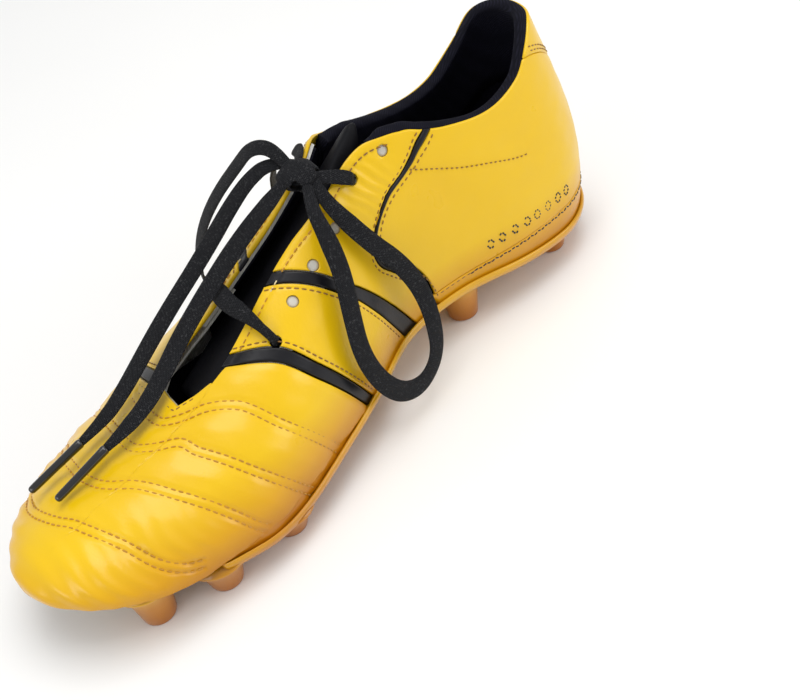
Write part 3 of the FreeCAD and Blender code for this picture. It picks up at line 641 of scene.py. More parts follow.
def upper_material():
    mat, tree, shader = material("upper_yellow", (0.78, 0.52, 0.003), 0.36, coat=0.2, coat_rough=0.2,
                                 specular=0.35)
    patches = noise(tree, 14.0, 4.0)
    # painted shade: the yellow turns deep orange-brown towards the sole edge, from 40 mm down to 16 mm over
    # the ground, where shade falls on the lower sides
    level = height_share(tree, 0.016, 0.040)
    low = ramp(tree, level, [(0.0, (0.46, 0.16, 0.001)), (0.45, (0.68, 0.34, 0.001)),
                             (1.0, (0.82, 0.52, 0.001))])
    tint = ramp(tree, patches.outputs["Fac"], [(0.3, (0.93, 0.90, 0.9)), (0.7, (1.0, 1.0, 1.0))])
    tree.links.new(blend_colors(tree, 1.0, low.outputs["Color"], tint.outputs["Color"], "MULTIPLY"),
                   shader.inputs["Base Color"])
    gloss = ramp(tree, noise(tree, 60.0, 3.0).outputs["Fac"], [(0.3, (0.27,) * 3), (0.75, (0.40,) * 3)])
    tree.links.new(gloss.outputs["Color"], shader.inputs["Roughness"])
    grain = noise(tree, 900.0, 4.0)
    bump(tree, shader, grain.outputs["Fac"], 0.10, 0.0006)
    return mat


def plain_material(name, color, rough, grain_scale, strength, distance=0.0005, dark=0.75, **more):
    """A material with a procedural tint and grain."""
    mat, tree, shader = material(name, color, rough, **more)
    spots = noise(tree, 45.0, 4.0)
    tint = ramp(tree, spots.outputs["Fac"], [(0.3, tuple(c * dark for c in color)), (0.7, color)])
    tree.links.new(tint.outputs["Color"], shader.inputs["Base Color"])
    gloss = ramp(tree, noise(tree, 90.0, 2.0).outputs["Fac"], [(0.3, (max(rough - 0.06, 0.02),) * 3),
                                                              (0.7, (rough + 0.06,) * 3)])
    tree.links.new(gloss.outputs["Color"], shader.inputs["Roughness"])
    bump(tree, shader, noise(tree, grain_scale, 3.0).outputs["Fac"], strength, distance)
    return mat


def sole_material():
    mat, tree, shader = material("outsole", (0.50, 0.22, 0.012), 0.30, coat=0.35, coat_rough=0.12,
                                 specular=0.4)
    level = height_share(tree, 0.0, 0.020)
    tint = ramp(tree, level, [(0.0, (0.40, 0.12, 0.003)), (0.6, (0.52, 0.20, 0.003)),
                              (1.0, (0.72, 0.38, 0.002))])
    spots = ramp(tree, noise(tree, 30.0, 4.0).outputs["Fac"], [(0.3, (0.86, 0.84, 0.8)), (0.7, (1, 1, 1))])
    tree.links.new(blend_colors(tree, 1.0, tint.outputs["Color"], spots.outputs["Color"], "MULTIPLY"),
                   shader.inputs["Base Color"])
    bump(tree, shader, noise(tree, 260.0, 3.0).outputs["Fac"], 0.06, 0.0006)
    return mat


def knit_material(name, dark, light, rough, sheen, scale=1300.0, strength=0.35):
    """A close knit: two crossing waves of yarn."""
    mat, tree, shader = material(name, dark, rough, sheen=sheen, specular=0.12)
    where = tree.nodes.new("ShaderNodeTexCoord")
    waves = []
    for turn in ((0.3, 0.5, 0.6), (-0.4, 0.9, 0.2)):
        mapping = tree.nodes.new("ShaderNodeMapping")
        mapping.inputs["Rotation"].default_value = turn
        tree.links.new(where.outputs["Object"], mapping.inputs["Vector"])
        wave = add(tree, "ShaderNodeTexWave", Scale=scale * 0.32, Distortion=1.2, Detail=1.0)
        tree.links.new(mapping.outputs["Vector"], wave.inputs["Vector"])
        waves.append(wave.outputs["Fac"])
    both = calculate(tree, "MULTIPLY", *waves)
    tint = ramp(tree, both, [(0.0, dark), (1.0, light)])
    tree.links.new(tint.outputs["Color"], shader.inputs["Base Color"])
    bump(tree, shader, both, strength, 0.0005)
    return mat


def lace_material():
    """A flat tubular weave: herringbone ribs across the ribbon, from its own u (along) and v (around)."""
    mat, tree, shader = material("lace", (0.012, 0.012, 0.014), 0.6, specular=0.12)
    where = tree.nodes.new("ShaderNodeUVMap")
    where.uv_map = "weave"
    split = tree.nodes.new("ShaderNodeSeparateXYZ")
    tree.links.new(where.outputs["UV"], split.inputs["Vector"])
    ribs = []
    for lean in (1.0, -1.0):
        slope = calculate(tree, "MULTIPLY_ADD", split.outputs["Y"], lean * 12.0, split.outputs["X"])
        ribs.append(calculate(tree, "SINE", calculate(tree, "MULTIPLY", slope, 2 * math.pi)))
    share = tree.nodes.new("ShaderNodeMapRange")
    share.inputs["From Min"].default_value = -0.6
    tree.links.new(calculate(tree, "MAXIMUM", *ribs), share.inputs["Value"])
    # painted highlight: fine light flecks of noise added to the lace's base colour as glints
    painted_glints = ramp(tree, noise(tree, 1500.0, 2.0).outputs["Fac"], [(0.56, (0.0,) * 3), (0.75, (0.5,) * 3)])
    yarn = ramp(tree, share.outputs["Result"], [(0.0, (0.001, 0.001, 0.001)), (0.7, (0.003, 0.003, 0.004)),
                                                (1.0, (0.020, 0.021, 0.025))])
    tree.links.new(blend_colors(tree, 0.10, yarn.outputs["Color"], painted_glints.outputs["Color"], "ADD"),
                   shader.inputs["Base Color"])
    bump(tree, shader, share.outputs["Result"], 0.6, 0.0004)
    return mat


YELLOW = upper_material()
BLACK = plain_material("stripe_black", (0.005, 0.005, 0.008), 0.34, 700.0, 0.12, coat=0.05, specular=0.3)
SOLE = sole_material()
NAVY = knit_material("lining_black", (0.003, 0.003, 0.007), (0.010, 0.010, 0.020), 0.75, 0.0)
TONGUE_BLACK = plain_material("tongue_black", (0.005, 0.005, 0.007), 0.6, 500.0, 0.25, specular=0.15)
WHITE = knit_material("lining_white", (0.55, 0.54, 0.50), (0.80, 0.79, 0.75), 0.85, 0.3)
FOAM = plain_material("foam", (0.60, 0.56, 0.44), 0.9, 900.0, 0.5)
BOARD = plain_material("board", (0.42, 0.33, 0.22), 0.85, 600.0, 0.3)
COUNTER = plain_material("stiffener", (0.50, 0.47, 0.40), 0.7, 400.0, 0.2)
LACE = lace_material()
AGLET = plain_material("aglet", (0.004, 0.004, 0.005), 0.14, 120.0, 0.05, coat=0.6)
BROWN_THREAD = plain_material("thread_brown", (0.30, 0.13, 0.008), 0.6, 2500.0, 0.3, sheen=0.2)
# painted shade in part: the thread's own yellow-orange, drawn darker as painted shade for the shadows in its
# stitch holes
ORANGE_THREAD_PAINTED_SHADE = plain_material("thread_orange", (0.58, 0.27, 0.012), 0.6, 2500.0, 0.3, sheen=0.2)
BLACK_THREAD = plain_material("thread_black", (0.012, 0.010, 0.010), 0.55, 2500.0, 0.3, sheen=0.2)
CREAM_THREAD = plain_material("thread_cream", (0.78, 0.66, 0.36), 0.6, 2500.0, 0.3, sheen=0.2)
EYELET_DISC = plain_material("eyelet_disc", (0.62, 0.60, 0.54), 0.75, 900.0, 0.3)


# ---- sewing ----
STITCH_SIDES = 6


def capsule(start, end, radius, up):
    """A stitch: a short thread, rounded at both ends and sunk a little at its ends."""
    along = end - start
    length = np.linalg.norm(along)
    along /= length
    side = np.cross(up, along)
    side /= np.linalg.norm(side)
    top = np.cross(along, side)
    verts = []
    for share, size, sink in ((0.0, 0.35, 0.9), (0.08, 0.8, 0.35), (0.25, 1.0, 0.0), (0.75, 1.0, 0.0),
                              (0.92, 0.8, 0.35), (1.0, 0.35, 0.9)):
        centre = start + along * length * share - up * radius * sink
        for angle in around(STITCH_SIDES):
            verts.append(centre + (side * math.cos(angle) + top * math.sin(angle) * 0.8) * radius * size)
    return verts, ring_faces(6, STITCH_SIDES)


def sew(name, rows, mat, height=0.1, stitch=1.9, pitch=2.7, radius=0.27):
    """Rows of stitches merged in one piece. Each row is (s, w) places."""
    verts = []
    faces = []
    for row in rows:
        points = on_skin(row[:, 0], row[:, 1], height)
        ups = skin_normal(row[:, 0], row[:, 1])
        run = np.concatenate([[0], np.cumsum(np.linalg.norm(np.diff(points, axis=0), axis=1))])
        start = 0.4
        while start + stitch < run[-1]:
            a = np.array([np.interp(start, run, points[:, k]) for k in range(3)])
            b = np.array([np.interp(start + stitch, run, points[:, k]) for k in range(3)])
            up = np.array([np.interp(start + stitch / 2, run, ups[:, k]) for k in range(3)])
            up /= np.linalg.norm(up)
            more, sides = capsule(a, b, radius, up)
            offset = len(verts)
            verts += more
            faces += [tuple(offset + k for k in face) for face in sides]
            start += pitch
    obj = new_mesh(name, place(np.array(verts)), faces, mat)
    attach(obj, "shoe")
    return obj


def groove(distance, depth, width):
    """A seam pressed into the leather at a distance of 0."""
    return -depth * np.exp(-(distance / width) ** 2)


# ---- side panels ----
PANEL_HEIGHT = 90.0       # nominal size of a panel, for its grid
PANEL_WIDTH = 60.0

def panel(name, node, side, rear, front, low, high, mat, seams=(), relief=None, roll_sides=(1, 1, 0, 1),
          thick=1.25, lift=0.0, radius=0.7, step=1.0):
    """A shell panel on one side of the shoe, between two borders x(u) and two height fractions of s."""
    u, t = np.meshgrid(spacing(PANEL_HEIGHT, 1.15), spacing(PANEL_WIDTH, step), indexing="xy")
    s = arc_at(rear(u)) * (1 - t) + arc_at(front(u)) * t
    lo = low(s)
    hi = high(s)
    w = w_at(side, s, lo + (hi - lo) * u)
    base = on_skin(s, w)
    height = lift + roll(border_distance(base, roll_sides), radius)
    for row, depth, width in seams:
        height = height + groove(nearest_distance(base, [row]), depth, width)
    if relief is not None:
        height = height + relief(base, s, w)
    outer = on_skin(s, w, height)
    inner = on_skin(s, w, np.full(s.shape, lift - thick))
    obj = closed_sheet(name, outer, inner, mat)
    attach(obj, "shoe")
    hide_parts(node)
    return obj


def border(points, shift=0.0):
    return lambda u: curve(points, u) + shift


def constant(value):
    return lambda s: np.full(np.shape(s), float(value))


def along_skin(row):
    return on_skin(row[:, 0], row[:, 1])


def cut_eyelets(obj, side):
    """Round holes through the panel."""
    cutters = []
    for x, u in EYELETS:
        s = float(arc_at(x))
        w = float(w_at(side, s, u))
        centre = Vector(place(on_skin(s, w)))
        axis = Vector(skin_normal(s, w)).normalized()
        turn = axis.to_track_quat("Z", "Y").to_euler()
        bpy.ops.mesh.primitive_cylinder_add(vertices=28, radius=EYELET_R * 0.001, depth=0.012,
                                            location=centre, rotation=turn)
        cutters.append(bpy.context.object)
    bpy.ops.object.select_all(action="DESELECT")
    for cutter in cutters:
        cutter.select_set(True)
    bpy.context.view_layer.objects.active = cutters[0]
    bpy.ops.object.join()
    tool = bpy.context.object
    cut = obj.modifiers.new("holes", "BOOLEAN")
    cut.operation = "DIFFERENCE"
    cut.solver = "EXACT"
    cut.object = tool
    bpy.context.view_layer.update()
    depsgraph = bpy.context.evaluated_depsgraph_get()
    mesh = bpy.data.meshes.new_from_object(obj.evaluated_get(depsgraph))
    obj.modifiers.clear()
    old = obj.data
    obj.data = mesh
    bpy.data.meshes.remove(old)
    bpy.data.objects.remove(tool)


def eyelet_discs(side, label):
    """The pale backing seen through the holes, and the fine pressed rim round each."""
    verts = []
    faces = []
    for index, (x, u) in enumerate(EYELETS):
        if index in LACED:
            continue
        s = float(arc_at(x))
        w = float(w_at(side, s, u))
        centre = on_skin(s, w, -0.55)
        axis = skin_normal(s, w)
        axis /= np.linalg.norm(axis)
        across = np.cross(axis, [0.0, 0.0, 1.0])
        across /= np.linalg.norm(across)
        other = np.cross(axis, across)
        offset = len(verts)
        rings = [(0.0, 0.0), (EYELET_R * 0.5, -0.12), (EYELET_R * 0.93, -0.05), (EYELET_R * 0.93, -0.6)]
        verts.append(centre)
        for radius, rise in rings[1:]:
            for angle in around(24):
                out = across * math.cos(angle) + other * math.sin(angle)
                verts.append(centre + out * radius + axis * rise)
        last = len(verts)
        verts.append(centre - axis * 0.6)
        for k in range(24):
            n = (k + 1) % 24
            faces.append((offset, offset + 1 + k, offset + 1 + n))
            for ring in range(2):
                a = offset + 1 + ring * 24
                faces.append((a + k, a + 24 + k, a + 24 + n, a + n))
            faces.append((last, offset + 49 + n, offset + 49 + k))
    obj = new_mesh("eyelet_discs_" + label, place(np.array(verts)), faces, EYELET_DISC)
    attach(obj, "shoe")
    return obj


# ---- the parts of each side ----
TAB_U = {side: tab_u(side) for side in (1, -1)}
FOXING_U = {side: u_at_z(side, FOXING_TOP_Z) for side in (1, -1)}
ONE = constant(1.0)
ZERO = constant(0.0)
EDGE_ROWS = {side: edge_row(side, 98.0, 186.0 if side > 0 else 200.0, 3.4) for side in (1, -1)}


def side_parts(label, side):
    """All panels of one side, and its rows of stitches by thread."""
    edge_seam = along_skin(EDGE_ROWS[side])
    fs_front = FRONT_STRIPE_FRONT[side]
    fs_rear = FRONT_STRIPE_REAR[side]
    seed = 3 if side > 0 else 8

    def worn(shift):
        return lambda p, s, w: ripples(p, [(26.0, 0.10), (9.0, 0.05)], seed + shift)

    def piece(name, rear, front, low, high, mat, seams, relief, roll_sides, **more):
        return panel(label + name, label + name, side, rear, front, low, high, mat, seams, relief,
                     roll_sides, **more)

    def stripe(name, rear, front):
        piece(name, border(rear, 0.2), border(front, -0.2), ZERO, ONE, BLACK, [edge_groove], None,
              (1, 1, 0, 1), lift=-0.25, step=3.0)

    mid_front = border_row(fs_rear, side, -1.6)
    mid_rear = border_row(REAR_STRIPE_FRONT, side, 1.8)
    edge_groove = (edge_seam, 0.22, 0.7)
    mid_seams = [edge_groove, (along_skin(mid_front), 0.14, 0.5), (along_skin(mid_rear), 0.14, 0.5)]
    stripe("_front_stripe", fs_rear, fs_front)
    middle = piece("_mid_panel", border(REAR_STRIPE_FRONT, 0.2), border(fs_rear, -0.2), ZERO, ONE, YELLOW,
                   mid_seams, worn(0), (1, 1, 0, 1), step=0.9)
    stripe("_rear_stripe", REAR_STRIPE_REAR, REAR_STRIPE_FRONT)
    waist = piece("_waist_panel", border(PIPING, PIPING_HALF - 0.1), border(REAR_STRIPE_REAR, -0.2), ZERO,
                  ONE, YELLOW, [edge_groove], lambda p, s, w: worn(1)(p, s, w) + eyestay_creases(p),
                  (1, 1, 0, 1), step=0.9)
    piece("_piping", border(PIPING, -PIPING_HALF + 0.3), border(PIPING, PIPING_HALF - 0.3), ZERO, ONE,
          BLACK, [], None, (1, 1, 0, 0), lift=0.35, radius=1.25, thick=1.5, step=8.0)
    seam = along_skin(row_on_skin([locate(on_shell(side, x, z)) for x, _, z in QUARTER_ROW]))
    piece("_quarter", lambda u: np.zeros_like(u), border(PIPING, -PIPING_HALF + 0.1), FOXING_U[side],
          TAB_U[side], YELLOW, [(seam, 0.15, 0.6)] if side > 0 else [], worn(2), (0, 1, 1, 1), step=0.75)
    for obj in (middle, waist):
        cut_eyelets(obj, side)
    eyelet_discs(side, label)
    return {"brown": [edge_part(side, 98.0, 118.0), mid_front, mid_rear],
            "orange": [edge_part(side, low, high) for low, high in stripe_gaps(side)]}


def on_shell(side, x, z):
    """The place on a side at x and the height z."""
    s = float(arc_at(x))
    row = int(round(s / S_END * (len(S_ROWS) - 1)))
    return POINTS[side][row, int(round(m_at_z(side, row, z) * 240))]


def eyestay_creases(p):
    """Short folds in the leather by the top eyelets."""
    near = np.exp(-((p[..., 0] - 112) / 10.0) ** 2 - ((p[..., 2] - 84) / 9.0) ** 2)
    return near * 0.30 * np.sin((p[..., 0] * 0.8 - p[..., 2] * 0.55) * 1.7 + 0.6 * np.sin(p[..., 2] * 0.5))


def edge_part(side, low, high):
    row = EDGE_ROWS[side]
    x = np.interp(row[:, 0], S_ROWS, X_ROWS)
    return row[(x >= low) & (x <= high)]


def stripe_gaps(side):
    """Stretches of the edge row on yellow leather, between the stripes."""
    front_rear = FRONT_STRIPE_REAR[side][-1][1]
    return [(118.0, REAR_STRIPE_REAR[-1][1] - 1), (REAR_STRIPE_FRONT[-1][1] + 1, front_rear - 1)]


def stripe_spans(side):
    front_rear = FRONT_STRIPE_REAR[side][-1][1]
    front_front = FRONT_STRIPE_FRONT[side][-1][1]
    return [(REAR_STRIPE_REAR[-1][1], REAR_STRIPE_FRONT[-1][1]), (front_rear, front_front)]


ROWS = {label: side_parts(label, side) for label, side in SIDES.items()}
sew("seams_panels", [r for rows in ROWS.values() for r in rows["brown"]], BROWN_THREAD)
sew("seams_eyestay", [r for rows in ROWS.values() for r in rows["orange"]], ORANGE_THREAD_PAINTED_SHADE)
over_stripes = [edge_part(side, a, b) for side in (1, -1) for a, b in stripe_spans(side)]
sew("seams_over_stripes", over_stripes, CREAM_THREAD, height=-0.05)
quarter_row = row_on_skin([locate(on_shell(1, x, z)) for x, _, z in QUARTER_ROW])
sew("seams_quarter", [quarter_row], BROWN_THREAD, height=0.1, stitch=1.1, pitch=2.2, radius=0.28)
by_piping = [border_row(PIPING, side, shift, 0.04, 0.98) for side in (1, -1) for shift in (-3.0, 3.0)]
sew("seams_piping", by_piping, BROWN_THREAD, stitch=1.6, pitch=2.6, radius=0.28)


# ---- pieces that wrap the heel ----
def wrap(name, node, reach, low, high, mat, heights, thick, relief=None, roll_sides=(1, 1, 1, 1), columns=34,
         lift=0.0):
    """A piece round the heel: from reach on the medial side, round the back, to reach on the lateral side."""
    halves = []
    u = spacing(heights, 1.2)
    for side in (1, -1):
        t = np.linspace(0, 1, columns) if side < 0 else np.linspace(1, 0, columns)
        uu, tt = np.meshgrid(u, t, indexing="xy")
        s = arc_at(reach(uu, side)) * tt
        lo = low[side](s)
        hi = high[side](s)
        halves.append((s, w_at(side, s, lo + (hi - lo) * uu)))
    s = np.concatenate([halves[0][0], halves[1][0][1:]])
    w = np.concatenate([halves[0][1], halves[1][1][1:]])
    base = on_skin(s, w)
    height = lift + roll(border_distance(base, roll_sides), 0.7)
    if relief is not None:
        height = height + relief(base, s, w)
    outer = on_skin(s, w, height)
    inner = on_skin(s, w, np.full(s.shape, lift - thick))
    obj = closed_sheet(name, outer, inner, mat)
    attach(obj, "shoe")
    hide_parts(node)
    return obj


ZEROS = {1: ZERO, -1: ZERO}
ONES = {1: ONE, -1: ONE}
wrap("heel_tab", "heel_tab", lambda u, side: np.zeros_like(u) + TAB_REACH[side] - 0.6, TAB_U, ONES, YELLOW,
     22.0, 1.25, lambda p, s, w: ripples(p, [(14.0, 0.08)], 21), columns=44, lift=0.1)
wrap("heel_foxing", "heel_foxing", lambda u, side: curve(PIPING, u * 0.15) - PIPING_HALF - 0.15, ZEROS,
     FOXING_U, YELLOW, 11.0, 1.25, None, (1, 1, 0, 1), columns=80, lift=0.12)


def foxing_row(side, drop, x_to, zigzag=0.0):
    s = np.linspace(0.2, float(arc_at(x_to)), 260)
    u = FOXING_U[side](s)
    z_span = np.linalg.norm(on_skin(s, w_at(side, s, u + 0.02)) - on_skin(s, w_at(side, s, u)), axis=1) / 0.02
    swing = zigzag * (2 * np.abs((s / 2.2) % 2 - 1) - 1)
    return np.stack([s, w_at(side, s, u + (-drop + swing) / z_span)], axis=1)


def tab_row(side, drop):
    s = np.linspace(0.2, float(arc_at(TAB_REACH[side] - 3.2)), 120)
    u = TAB_U[side](s)
    span = np.linalg.norm(on_skin(s, w_at(side, s, u - 0.02)) - on_skin(s, w_at(side, s, u)), axis=1) / 0.02
    return np.stack([s, w_at(side, s, u + drop / span)], axis=1)


sew("seams_low_heel", [foxing_row(side, 1.0, 84.0, 0.55) for side in (1, -1)], BLACK_THREAD, 0.22, 1.7,
    2.2, 0.32)
sew("seams_waist_low", [foxing_row(1, 1.0, 100.0)[200:], foxing_row(-1, 1.0, 100.0)[200:]], BROWN_THREAD)
sew("seams_tab", [tab_row(side, drop) for side in (1, -1) for drop in (1.6, 3.4)], BROWN_THREAD, 0.25)


def diamonds(side):
    """A row of small stitched diamonds low on the heel's side."""
    rows = []
    for x in np.arange(31.0, 74.0, 6.0):
        centre = np.array(locate(on_shell(side, x, 35.5)))
        s, w = centre
        p = on_skin(s, w)
        ds = np.linalg.norm(on_skin(s + 1, w) - p)
        dw = np.linalg.norm(on_skin(s, w + 0.01) - p) / 0.01
        corners = [(-1.9, 0.0), (0.0, 2.6), (1.9, 0.0), (0.0, -2.6), (-1.9, 0.0)]
        for a, b in zip(corners, corners[1:]):
            t = np.linspace(0, 1, 12)
            along = s + (a[0] + (b[0] - a[0]) * t) / ds
            up = w + (a[1] + (b[1] - a[1]) * t) / dw
            rows.append(np.stack([along, up], axis=1))
    return rows


sew("stitched_diamonds", diamonds(1) + diamonds(-1), BLACK_THREAD, 0.1, 1.15, 1.35, 0.36)


# ---- forefoot cover ----
QUILT_GROOVE = 0.55
QUILT_GROOVE_WIDTH = 0.85
QUILT_PUFF = 0.75


def vamp_start(w):
    """s at which the forefoot cover begins, for each w."""
    side = np.where(w < 0, 1, -1)
    u = np.clip((1 - np.abs(w)) / 0.86, 0, 1)
    full = np.clip((1 - np.abs(w)) / (1 - top_m(1, arc_at(curve(FRONT_STRIPE_FRONT[1], u)))), 0, 1)
    medial = curve(FRONT_STRIPE_FRONT[1], full) + 0.2
    ends = FRONT_STRIPE_FRONT[-1]
    lateral = ends[1][1] + (ends[-1][1] - ends[1][1]) * smooth(0, 0.16, np.abs(w)) + 0.2
    lateral = np.where(np.abs(w) > 0.16, curve(ends, u) + 0.2, lateral)
    medial = np.where(np.abs(w) < 0.13, throat_line(w), medial)
    lateral = np.where(np.abs(w) < 0.13, throat_line(w), lateral)
    return arc_at(np.where(side > 0, medial, lateral))


THROAT_POINTS = [(x, y, float(curve(RIDGE_Z, x)) - 0.02 * (y - 5.7) ** 2) for x, y in THROAT_BASE]
THROAT_PLACES = sorted(locate(p)[::-1] for p in THROAT_POINTS)


def throat_line(w):
    """x of the throat's front end, for each w near the ridge."""
    rows_w = [p[0] for p in THROAT_PLACES]
    rows_x = [float(np.interp(p[1], S_ROWS, X_ROWS)) for p in THROAT_PLACES]
    return np.interp(w, rows_w, rows_x)


def vamp_relief(p):
    """Quilting: two pressed rows to each seam, and the leather puffed between the seams."""
    height = np.zeros(p.shape[:2])
    for pair in QUILTS:
        for row in pair[:2]:
            height += groove(nearest_distance(p, [along_skin(row)]), QUILT_GROOVE, QUILT_GROOVE_WIDTH)
    nearest = np.min([nearest_distance(p, [middle]) for middle in QUILT_MIDDLES], axis=0)
    zone = smooth(0.0, 10.0, nearest)
    reach = 1 - smooth(0.86, 1.0, (p[..., 0] - 160) / 125.0)
    height += QUILT_PUFF * zone * reach * (p[..., 2] > 18) - 0.2
    side_wall = np.exp(-((p[..., 2] - 32) / 9.0) ** 2) * smooth(215, 250, p[..., 0])
    height += 0.22 * side_wall * np.sin(p[..., 0] * 1.05 + 2.0 * np.sin(p[..., 2] * 0.32))
    height += ripples(p, [(24.0, 0.12), (8.0, 0.06)], 31)
    return height


def make_vamp():
    edge = np.linspace(0.985, 1, 5)[1:]
    rows_w = np.concatenate([np.linspace(-1, -0.985, 5)[:-1], np.linspace(-0.985, 0.985, 270), edge])
    t = spacing(110.0, 0.75)
    ww, tt = np.meshgrid(rows_w, t, indexing="ij")
    start = vamp_start(rows_w)[:, None]
    s = start + (S_END - 0.4 - start) * tt
    base = on_skin(s, ww)
    along = lengths_along(base, 1)
    height = roll(along, 0.7) + vamp_relief(base) * smooth(0.0, 3.0, along) + 0.1
    outer = on_skin(s, ww, height)
    inner = on_skin(s, ww, np.full(s.shape, -1.25))
    obj = closed_sheet("vamp_cover", outer, inner, YELLOW)
    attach(obj, "shoe")
    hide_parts("vamp")
    return obj


make_vamp()


def clipped(row):
    """The part of a row that lies on the forefoot cover."""
    start = vamp_start(row[:, 1])
    return row[row[:, 0] > start + 1.5]


quilt_threads = [clipped(row) for rows in QUILTS for row in rows[:2]]
sew("seams_quilting", [row for row in quilt_threads if len(row) > 8], ORANGE_THREAD_PAINTED_SHADE, -0.42)
EDGE_STRETCHES = ((-0.97, -0.16, 220), (-0.085, 0.10, 40), (0.17, 0.97, 220))
vamp_edge = [np.stack([vamp_start(w) + 2.2, w], axis=1) for w in (np.linspace(*a) for a in EDGE_STRETCHES)]
sew("seams_vamp_edge", vamp_edge, BROWN_THREAD, 0.1)


# ---- collar: a padded roll round the ankle's opening ----
COLLAR_FRONT_X = 104.0
PAD_HALF_T = 2.7


def collar_path(side):
    """The top edge from the heel to the eyestay: s and w."""
    s = np.linspace(0.0, float(arc_at(COLLAR_FRONT_X)), 150)
    return s, -side * top_m(side, s)


def make_collar():
    """A roll swept along the collar: its visible lip, and the lining that runs down inside."""
    sections = []
    for side in (1, -1):
        s, w = collar_path(side)
        x = np.interp(s, S_ROWS, X_ROWS)
        lip = on_skin(s, w, -0.3)
        lower = on_skin(s, -side * np.clip(top_m(side, s) + 0.10, 0, 1), -5.4)
        deep = on_skin(s, -side * np.clip(top_m(side, s) + 0.28, 0, 1), -5.5)
        normal = on_skin(s, w, 1.0) - on_skin(s, w)
        rise = lip - on_skin(s, -side * (top_m(side, s) + 0.02), -0.3)
        rise /= np.linalg.norm(rise, axis=1, keepdims=True)
        fat = 1.3 + 0.9 * (1 - smooth(0, 18, x)) + 2.2 * smooth(60, 92, x)
        fat = fat * (1 - 0.75 * smooth(97, 104, x))
        ring = []
        for share in np.linspace(0, 1, 13):
            angle = math.pi * share
            out = np.cos(angle) * PAD_HALF_T
            up = np.sin(angle) * fat
            centre = lip - normal * (PAD_HALF_T + 0.35)
            ring.append(centre + normal * out + rise * (up - 0.4)[:, None])
        back = [ring[-1] * (1 - k) + lower * k for k in (0.33, 0.66, 1.0)]
        back += [lower * (1 - k) + deep * k for k in (0.25, 0.5, 0.75, 1.0)]
        front = [on_skin(s, -side * np.clip(top_m(side, s) + 0.28, 0, 1), -1.9),
                 on_skin(s, -side * np.clip(top_m(side, s) + 0.10, 0, 1), -1.9)]
        loop = np.stack(ring + back + front, axis=1)
        sections.append(loop)
    joined = np.concatenate([sections[0][::-1], sections[1][1:]])
    faces = ring_faces(*joined.shape[:2], flip=True)
    obj = new_mesh("collar_padding", place(joined).reshape(-1, 3), faces, NAVY)
    fix_normals(obj)
    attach(obj, "shoe")
    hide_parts("collar_foam", "collar_lining")
    return obj


def fix_normals(obj):
    import bmesh
    work = bmesh.new()
    work.from_mesh(obj.data)
    bmesh.ops.recalc_face_normals(work, faces=work.faces)
    work.to_mesh(obj.data)
    work.free()


make_collar()


# ---- tongue ----
TOP_ROUNDING = 9.0
SMOOTHINGS = 200


def make_tongue():
    rows = np.linspace(TONGUE_TOP_X, TONGUE_BASE_X, 80)
    t = np.linspace(-1, 1, 50)
    x, tt = np.meshgrid(rows, t, indexing="ij")
    x = x + TOP_ROUNDING * tt ** 4 * (TONGUE_BASE_X - x) / (TONGUE_BASE_X - TONGUE_TOP_X)
    s = arc_at(x)
    w = TONGUE_MIDDLE + tt * TONGUE_HALF * (1 - 0.35 * smooth(160, 210, x))
    w = np.where(np.abs(w) < 1e-3, -1e-3, w)
    lie = TONGUE_MID_DEPTH + (TONGUE_EDGE_DEPTH - TONGUE_MID_DEPTH) * smooth(0.15, 0.6, np.abs(tt))
    base = on_skin(s, w, -lie, False)
    for _ in range(SMOOTHINGS):
        base[:, 1:-1] += 0.25 * (base[:, 2:] - 2 * base[:, 1:-1] + base[:, :-2])
    edge = border_distance(base)
    down = on_skin(s[:, 25], w[:, 25], -1.0, False) - on_skin(s[:, 25], w[:, 25], 0.0, False)
    puff = roll(edge, 1.6) + 0.25 * smooth(2, 12, edge) * (1 - 0.7 * smooth(0.0, 1.0, np.abs(tt)))
    folds = 0.22 * np.sin(x * 0.34 + 0.8 * np.sin(tt * 2.2)) * smooth(4, 12, edge)
    outer = base + down[:, None] * (0.35 - puff - folds)[..., None]
    inner = base + down[:, None] * (TONGUE_T + roll(edge, 1.6) * 0.6)[..., None]
    obj = closed_sheet("tongue_padding", outer, inner, TONGUE_BLACK)
    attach(obj, "tongue")
    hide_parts("tongue_cover", "tongue_foam", "tongue_lining")
    return obj


make_tongue()


# ---- outsole: the plate with its rim and the studs ----
STUD_SIDES = 40
LIP = [(-3.0, -0.5), (-0.4, -0.3), (0.6, 0.75), (1.1, 1.05)]        # out from the sole edge, up from it
RIM = [(1.45, 0.9), (1.75, 0.5), (1.85, -0.2), (1.6, -1.3), (1.2, -2.4), (0.2, -3.6), (-2.5, -4.3)]
LIP_DROP = 0.15


def sole_outline(count=260):
    """The plate's outline, from the medial side round the toe and the heel."""
    points = []
    for side in (1, -1):
        s = np.linspace(0.0, S_END, count)
        p = on_skin(s, np.full(count, -side * 1.0))
        points.append(p)
    loop = np.concatenate([points[0], points[1][::-1]])
    keep = [0]
    for k in range(1, len(loop)):
        if np.linalg.norm(loop[k] - loop[keep[-1]]) > 0.25:
            keep.append(k)
    return loop[keep]


